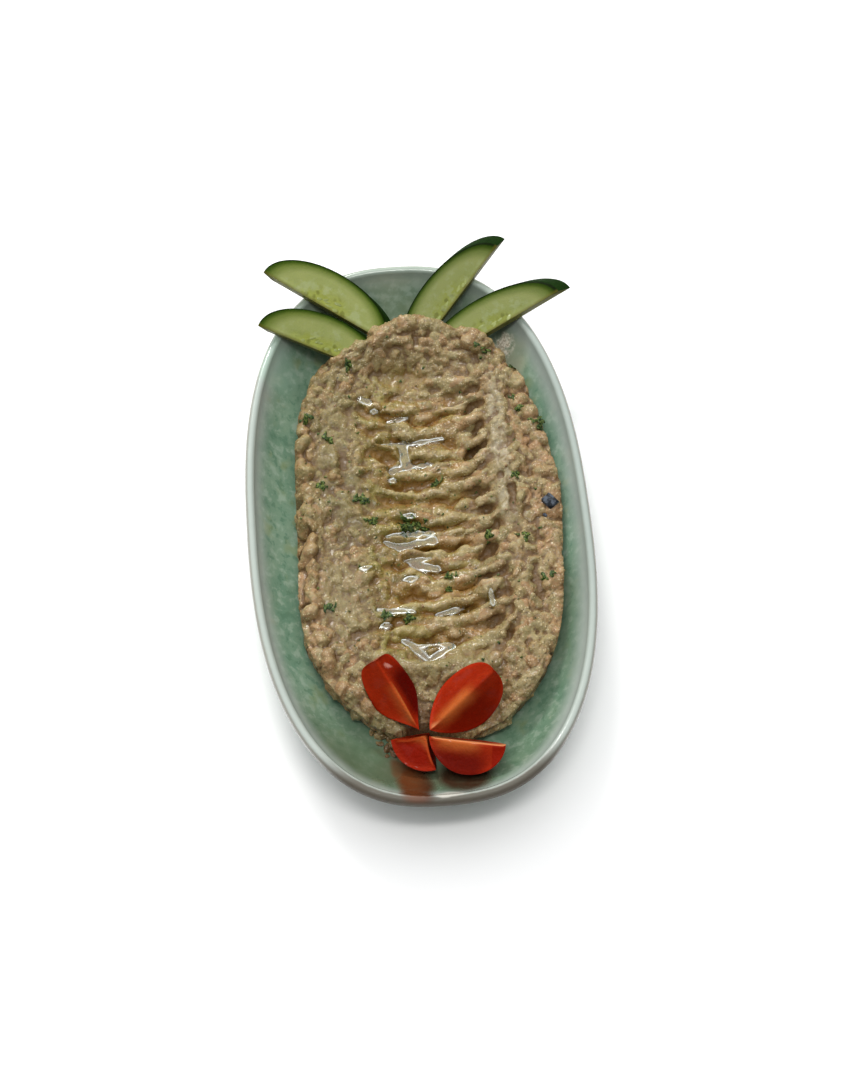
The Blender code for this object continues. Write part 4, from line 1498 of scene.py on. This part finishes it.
def paint_cucumber():
    """Cucumber: dark skin, green under it, pale flesh, a yellow-green seedy core, and painted shade
    on the right-hand slices.
    """
    paint = Paint(
        "cucumber_flesh",
        {
            "IOR": 1.2,
            "Specular IOR Level": 0.1,
            "Coat Roughness": 0.12,
            "Subsurface Weight": 0.15,
            "Subsurface Scale": 0.0015,
            "Subsurface Radius": (0.7, 1.0, 0.35),
        },
    )
    u = paint.mark("slice_along")
    v = paint.mark("slice_out")
    blur = paint.cloud(4.0, 3.0) - 0.5
    fine = paint.cloud(0.8, 3.0) - 0.5
    ring = (u * u + v * v) ** 0.5
    wobbly = ring + 0.03 * blur
    pale = paint.mix((0.262, 0.284, 0.092), (0.212, 0.250, 0.074), paint.cloud(7.0, 2.0))
    core = (ring + 0.35 * blur).step(0.55, 0.25)
    cores = paint.cells(3.2, paint.warped(3.0, 1.4)).step(0.45, 0.2)
    pith = paint.cloud(5.0, 3.0, 0.6).step(0.50, 0.66) * wobbly.step(0.80, 0.6)
    seam = (v + 0.03 * blur).step(0.11, 0.01)
    skin = ring.step(0.990, 0.998)
    streak = paint.cloud(2.2, 3.0, 0.6)
    skin_green = paint.mix((0.004, 0.013, 0.002), (0.009, 0.028, 0.003), streak)
    colour = paint.coats(
        pale,
        ((0.233, 0.260, 0.039), core * 0.75),
        ((0.110, 0.120, 0.017), cores * core * 0.7),
        ((0.100, 0.140, 0.016), wobbly.step(0.70, 0.89) * 0.88),
        ((0.026, 0.056, 0.003), wobbly.step(0.855, 0.960)),
        ((0.004, 0.010, 0.001), wobbly.step(0.95, 0.982) * 0.95),
        ((0.320, 0.360, 0.190), pith * 0.4),
        # Painted shade darkening the right-hand slices.
        ((0.0, 0.0, 0.0), paint.mark("slice_shade")),
        ((0.086, 0.077, 0.011), seam * 0.7),
        (skin_green, skin),
    )
    paint.set(
        Base_Color=colour,
        Roughness=0.35 + 0.2 * blur + 0.2 * skin,
        Coat_Weight=(0.25 + 0.3 * blur) * ring.step(0.94, 0.84),
    )
    height = 0.6 * blur + 0.35 * fine
    paint.set(Normal=paint.bumps(height, 0.35))
    return paint


def make_slices():
    """The four slices and the seeds that show in their cores."""
    shapes = []
    paint = paint_cucumber()
    seeds = bmesh.new()
    rng = random.Random(8)
    for sizes in SLICES:
        shape = shape_slice(*sizes)
        shapes.append(shape)
        surface = BVHTree.FromBMesh(shape)
        tip, heading, pitch, bank, half_length, width, side = sizes
        along, skinward, face = slice_frame(heading, pitch, bank, side)
        centre = Vector(tip) - half_length * along
        for _ in range(SEEDS_PER_SLICE):
            u = rng.uniform(-0.32, 0.38)
            v = rng.uniform(0.07, 0.26)
            above = centre + along * u * half_length + skinward * v * width + face * 9.0
            place, normal, _, _ = surface.ray_cast(above, -face)
            if not place:
                continue
            stand = turned_to(normal, rng.uniform(0.0, 0.7) + math.radians(heading))
            sizes_there = (rng.uniform(1.0, 1.9), rng.uniform(0.5, 0.9), 0.06)
            matrix = Matrix.Translation(place) @ stand
            matrix = matrix @ Matrix.Diagonal((*sizes_there, 1.0))
            bmesh.ops.create_icosphere(seeds, subdivisions=2, radius=1.0, matrix=matrix)
    return shapes, seeds, paint


def paint_cucumber_seeds():
    """Young cucumber seeds: pale, clear and wet."""
    paint = Paint("cucumber_seed", {"IOR": 1.4, "Coat Weight": 0.15})
    fine = paint.cloud(1.0, 2.0)
    paint.set(
        Base_Color=paint.mix((0.225, 0.250, 0.068), (0.165, 0.200, 0.038), fine),
        Roughness=0.2 + 0.2 * fine,
    )
    return paint


# ---------------------------------------------------------------- tomato


def wedge_loop(half_angle):
    """Cross-section of a wedge: out along one cut, round the skin, back along the other.

    Each point is its share of the way out from the core and its angle.
    """
    angle = math.radians(half_angle)
    shares = [step / WEDGE_FACE_STEPS for step in range(WEDGE_FACE_STEPS)]
    loop = [(share, -angle) for share in shares]
    for step in range(WEDGE_SKIN_STEPS):
        loop.append((1.0, between(-angle, angle, step / WEDGE_SKIN_STEPS)))
    return loop + [(1.0 - share, angle) for share in shares]


def wedge_rings(axes, base, half_length, radius, half_angle, ends, first, seed, dark=1.0):
    """Rings of a wedge from one end to the other, or from a cut across it."""
    skinward, sideward, length_way = axes
    inner_power, outer_power = ends
    loop = wedge_loop(half_angle)
    rings = []
    start = math.acos(-first)
    for step in range(WEDGE_STATIONS + 1):
        z = -math.cos(between(start, math.pi, step / WEDGE_STATIONS))
        ring_size = max(1.0 - z * z, 0.0) ** 0.5
        power = inner_power if z < 0.0 else outer_power
        reach = radius * ring_size**power if ring_size > 1e-6 else 0.0
        blunt = min(0.9, 0.15 * reach)
        ring = []
        for share, angle in loop:
            r = share * reach
            on_face = 1.0 - smooth_step(0.8, 0.97, share)
            sunk = 0.45 * on_face * math.sin(math.pi * min(share / 0.97, 1.0))
            sunk *= 1.0 + 0.5 * noise.noise(Vector((r * 0.2, z * 2.0, seed + angle)))
            sunk *= min(reach / 8.0, 1.0)
            turn = angle - math.copysign(sunk / max(r, 2.0), angle)
            bump = 1.0 + 0.012 * noise.noise(Vector((angle * 2.0, z * 2.0, seed)))
            x = r * bump * math.cos(turn)
            y = r * bump * math.sin(turn)
            x = math.hypot(x, blunt * (1.0 - share))
            point = base + skinward * x + sideward * y + length_way * z * half_length
            # Painted shade: the cut face on the right is marked to be darkened, by each wedge's own
            # amount.
            shaded_face = smooth_step(0.12, -0.12, angle) * smooth_step(0.0, 0.12, share)
            ring.append((point, (reach - r, r, z, 0.0, dark * shaded_face)))
        rings.append(ring)
    return rings


TOMATO_MARKS = ("under_skin", "from_core", "lengthwise", "cut_depth", "shaded_face")


def shape_wedge(tip, heading, pitch, roll, half_length, radius, angle, ends, dark):
    """A long wedge of a small tomato, lying on its skin."""
    along, level, upright = slice_frame(heading, pitch, 0.0, 1)
    lean = math.radians(roll)
    skinward = -math.cos(lean) * upright + math.sin(lean) * level
    axes = (skinward, along.cross(skinward), along)
    middle = Vector(tip) + along * half_length
    rings = wedge_rings(
        axes, middle, half_length, radius, angle, ends, -1.0, heading, dark
    )
    return loft(rings, TOMATO_MARKS)


def shape_half_wedge():
    """The wedge that was cut once more across, standing on its end."""
    down = Vector(HALF_WEDGE_DOWN).normalized()
    toward = Vector(HALF_WEDGE_TOWARD)
    skinward = (toward - down * toward.dot(down)).normalized()
    corner = Vector(HALF_WEDGE_CORNER)
    axes = (skinward, down.cross(skinward), down)
    rings = wedge_rings(
        axes,
        corner,
        HALF_WEDGE_LENGTH,
        HALF_WEDGE_RADIUS,
        HALF_WEDGE_ANGLE,
        (1.0, 1.0),
        0.0,
        3.0,
    )
    middle = corner + skinward * HALF_WEDGE_RADIUS * 0.6
    rim = rings[0]
    cap = []
    for share in HALF_WEDGE_CAP:
        ring = []
        for point, _ in rim:
            spot = middle + (point - middle) * share
            offset = spot - corner
            from_core = offset.length
            dip = 0.45 * smooth_step(1.0, 0.7, share) if share < 1.0 else 0.0
            depth = HALF_WEDGE_RADIUS * 0.45 * (1.0 - share)
            # The half wedge's cap takes some of the painted shade.
            marks = (HALF_WEDGE_RADIUS - from_core, from_core, 0.0, depth, 0.35)
            ring.append((spot + down * dip, marks))
        cap.append(ring)
    return loft(cap + rings, TOMATO_MARKS, cap_first=True)


def paint_tomato():
    """Tomato: glossy red skin, paler wall under it, deep red flesh and an orange core, with painted
    shade on the faces on the right, painted light on two faces and a painted highlight on one skin
    end.
    """
    paint = Paint(
        "tomato_flesh",
        {
            "IOR": 1.25,
            "Specular IOR Level": 0.1,
            "Coat Roughness": 0.08,
            "Subsurface Weight": 0.1,
            "Subsurface Scale": 0.0015,
            "Subsurface Radius": (1.0, 0.2, 0.05),
        },
    )
    under = paint.mark("under_skin")
    core = paint.mark("from_core")
    length = paint.mark("lengthwise")
    cut = paint.mark("cut_depth")
    shaded_face = paint.mark("shaded_face")
    blur = paint.cloud(4.0, 3.0) - 0.5
    fine = paint.cloud(0.9, 4.0, 0.6) - 0.5
    fibre = paint.cloud(1.6, 4.0, 0.6, None, 1.5)
    x = paint.axis("X")
    y = paint.axis("Y")
    outer = (length + 0.3 * blur).step(-1.0, -0.5) * length.step(0.50, 0.05)
    ridge = (core + 2.5 * blur).step(7.5, 0.8) * (1.0 - 5.0 * (shaded_face - 1.1).most(0.0))
    wall = (under + 0.8 * blur).step(2.4, 1.0) * under.step(0.02, 0.3)
    # Painted shade on the face on the right, deepening away from the core.
    darker = shaded_face * core.step(0.5, 8.0) * length.step(0.85, 0.2)
    tip = (length + 0.12 * blur).step(0.65, 0.69) * y.step(-90.0, -93.0)
    # Painted light on the third wedge's far cut face, which lies in the shadow of the wedges behind
    # it.
    far_face = shaded_face.step(0.3, 0.0) * x.step(-4.0, -2.0) * y.step(-89.0, -92.0)
    # Painted light on the first wedge's lit left cut face.
    left = x.step(-11.0, -14.0) * y.step(-92.0, -88.0)
    edge = cut.step(0.1, 0.4) * cut.step(1.4, 0.8) * core.step(13.0, 10.0)
    flesh = paint.coats(
        paint.mix((0.275, 0.018, 0.003), (0.190, 0.008, 0.001), blur + 0.5),
        ((0.380, 0.026, 0.006), fibre.step(0.52, 0.70) * 0.35),
        ((0.430, 0.110, 0.024), ridge * (0.03 + 0.75 * outer)),
        ((0.370, 0.020, 0.004), wall * 0.5),
        ((0.075, 0.0014, 0.0004), (darker * 0.85).least(1.0)),
        ((0.185, 0.006, 0.001), tip * 0.9),
        ((0.520, 0.190, 0.075), far_face * core.step(11.0, 3.0) * 0.9),
        ((0.430, 0.030, 0.006), left * shaded_face.step(0.4, 0.0) * 0.4),
        ((0.200, 0.005, 0.001), cut.step(1.2, 3.0) * 0.6),
        ((0.420, 0.060, 0.014), edge * 0.7),
    )
    skin = under.step(0.12, 0.03)
    skin_red = paint.mix((0.200, 0.004, 0.001), (0.260, 0.008, 0.001), fine + 0.5)
    wet = paint.cloud(5.0, 2.0).step(0.54, 0.64)
    # Painted highlight: a pale pink glint at the first wedge's outer skin end, where the coat is
    # glossier too.
    across = (x + 18.6 + 4.0 * blur) / 1.9
    beyond = (y + 67.0 + 4.0 * blur) / 1.3
    highlight_spot = (across * across + beyond * beyond).step(1.0, 0.1)
    highlighted = paint.mix(paint.mix(flesh, skin_red, skin), (0.560, 0.250, 0.200), highlight_spot * 0.7)
    paint.set(
        Base_Color=highlighted,
        Roughness=0.38 + 0.2 * fine - 0.1 * skin,
        Coat_Weight=0.25 * wet * (1.0 - skin) * (1.0 - shaded_face) + 0.22 * skin + 0.3 * highlight_spot,
    )
    height = (0.5 * blur + 0.5 * fine) * (1.0 - 0.85 * skin)
    paint.set(Normal=paint.bumps(height, 0.6))
    return paint


# ---------------------------------------------------------------- stage, light, camera


def add_stage():
    """Plain pale floor."""
    shape = bmesh.new()
    bmesh.ops.create_grid(shape, x_segments=1, y_segments=1, size=3.0)
    mesh = bpy.data.meshes.new("floor")
    shape.to_mesh(mesh)
    shape.free()
    floor = bpy.data.objects.new("floor", mesh)
    bpy.context.scene.collection.objects.link(floor)
    paint = Paint("pale_floor", {"Roughness": 0.9})
    paint.set(Base_Color=paint.mix((0.90, 0.90, 0.90), (0.92, 0.92, 0.92), paint.cloud(90.0)))
    mesh.materials.append(paint.material)


def add_light(name, elevation, azimuth, distance, size, power, colour=(1.0, 1.0, 1.0)):
    """A soft light aimed at the dish; azimuth turns from the far side to the right."""
    rise = math.radians(elevation)
    turn = math.radians(azimuth)
    way = Vector(
        (math.sin(turn) * math.cos(rise), math.cos(turn) * math.cos(rise), math.sin(rise))
    )
    light = bpy.data.lights.new(name, "AREA")
    light.shape = "RECTANGLE"
    light.size, light.size_y = size
    light.energy = power
    light.color = colour
    lamp = bpy.data.objects.new(name, light)
    lamp.location = way * distance
    lamp.rotation_euler = way.to_track_quat("Z", "Y").to_euler()
    bpy.context.scene.collection.objects.link(lamp)


def add_lights():
    """A window and a skylight at the far side, under a sky that dims towards the near side."""
    add_light("window", 40.0, -16.0, 1.3, (0.50, 0.22), 9.5, (1.0, 0.985, 0.96))
    add_light("skylight", 98.0, 0.0, 1.3, (0.60, 0.14), 5.0, (1.0, 0.99, 0.97))
    room = bpy.data.worlds.new("pale_room")
    room.use_nodes = True
    tree = room.node_tree
    sky = tree.nodes["Background"]
    where = tree.nodes.new("ShaderNodeTexCoord")
    turned = tree.nodes.new("ShaderNodeVectorMath")
    turned.operation = "DOT_PRODUCT"
    turned.inputs[1].default_value = (-0.14, 0.46, 0.88)
    shade = tree.nodes.new("ShaderNodeMapRange")
    shade.interpolation_type = "SMOOTHSTEP"
    shade.inputs["From Min"].default_value = 0.25
    shade.inputs["From Max"].default_value = 1.0
    shade.inputs["To Min"].default_value = 0.16
    shade.inputs["To Max"].default_value = 1.75
    tree.links.new(where.outputs["Generated"], turned.inputs[0])
    tree.links.new(turned.outputs["Value"], shade.inputs["Value"])
    tree.links.new(shade.outputs["Result"], sky.inputs["Strength"])
    sky.inputs["Color"].default_value = (0.98, 0.99, 1.0, 1.0)
    bpy.context.scene.world = room
    bpy.context.scene.view_settings.view_transform = "Standard"


def add_camera():
    """Camera that looks down on the dish from its near side, turned a little."""
    elevation = math.radians(63.55957)
    azimuth = math.radians(-8.83453)
    roll = math.radians(4.0)
    distance = 0.764426
    target = Vector((0.005489, -0.004562, 0.015))
    back = Vector(
        (
            math.sin(azimuth) * math.cos(elevation),
            -math.cos(azimuth) * math.cos(elevation),
            math.sin(elevation),
        )
    )
    right = (-back).cross(UP).normalized()
    up = right.cross(-back)
    turned_right = math.cos(roll) * right + math.sin(roll) * up
    turned_up = -math.sin(roll) * right + math.cos(roll) * up
    lens = bpy.data.cameras.new("camera")
    lens.lens = 60.0
    lens.sensor_width = 36.0
    camera = bpy.data.objects.new("camera", lens)
    camera.matrix_world = Matrix.Translation(target + back * distance) @ Matrix(
        (turned_right, turned_up, back)
    ).transposed().to_4x4()
    bpy.context.scene.collection.objects.link(camera)
    bpy.context.scene.camera = camera


# ---------------------------------------------------------------- the whole


def build():
    """Every piece of the model, then the stage."""
    make_dish()
    slices, seeds, cucumber = make_slices()
    tomatoes = [shape_wedge(*sizes) for sizes in WEDGES] + [shape_half_wedge()]
    dip = shape_dip()
    press_neighbours(dip, tomatoes)
    ground = BVHTree.FromBMesh(dip)
    add_piece("olive_oil", shape_oil(ground), paint_oil())
    add_piece("parsley_flakes", shape_parsley(ground), paint_parsley())
    add_piece("aubergine_seeds", shape_seeds(ground), paint_seeds())
    add_piece("charred_skin", shape_charred_skin(ground), paint_charred_skin(), (), 30.0)
    aubergine = paint_dip()
    add_piece("dip_crumbs", shape_crumbs(), aubergine)
    add_piece("aubergine_dip", dip, aubergine, ["baba_ganoush"])
    for number, shape in enumerate(slices, start=1):
        name = f"cucumber_slice_{number}"
        add_piece(f"{name}_cut", shape, cucumber, [name], 50.0)
    add_piece("cucumber_seeds", seeds, paint_cucumber_seeds())
    tomato = paint_tomato()
    names = [f"tomato_wedge_{number}" for number in (1, 2, 3)] + ["tomato_half_wedge"]
    for name, shape in zip(names, tomatoes):
        add_piece(f"{name}_cut", shape, tomato, [name], 50.0)
    add_stage()
    add_lights()
    add_camera()


build()
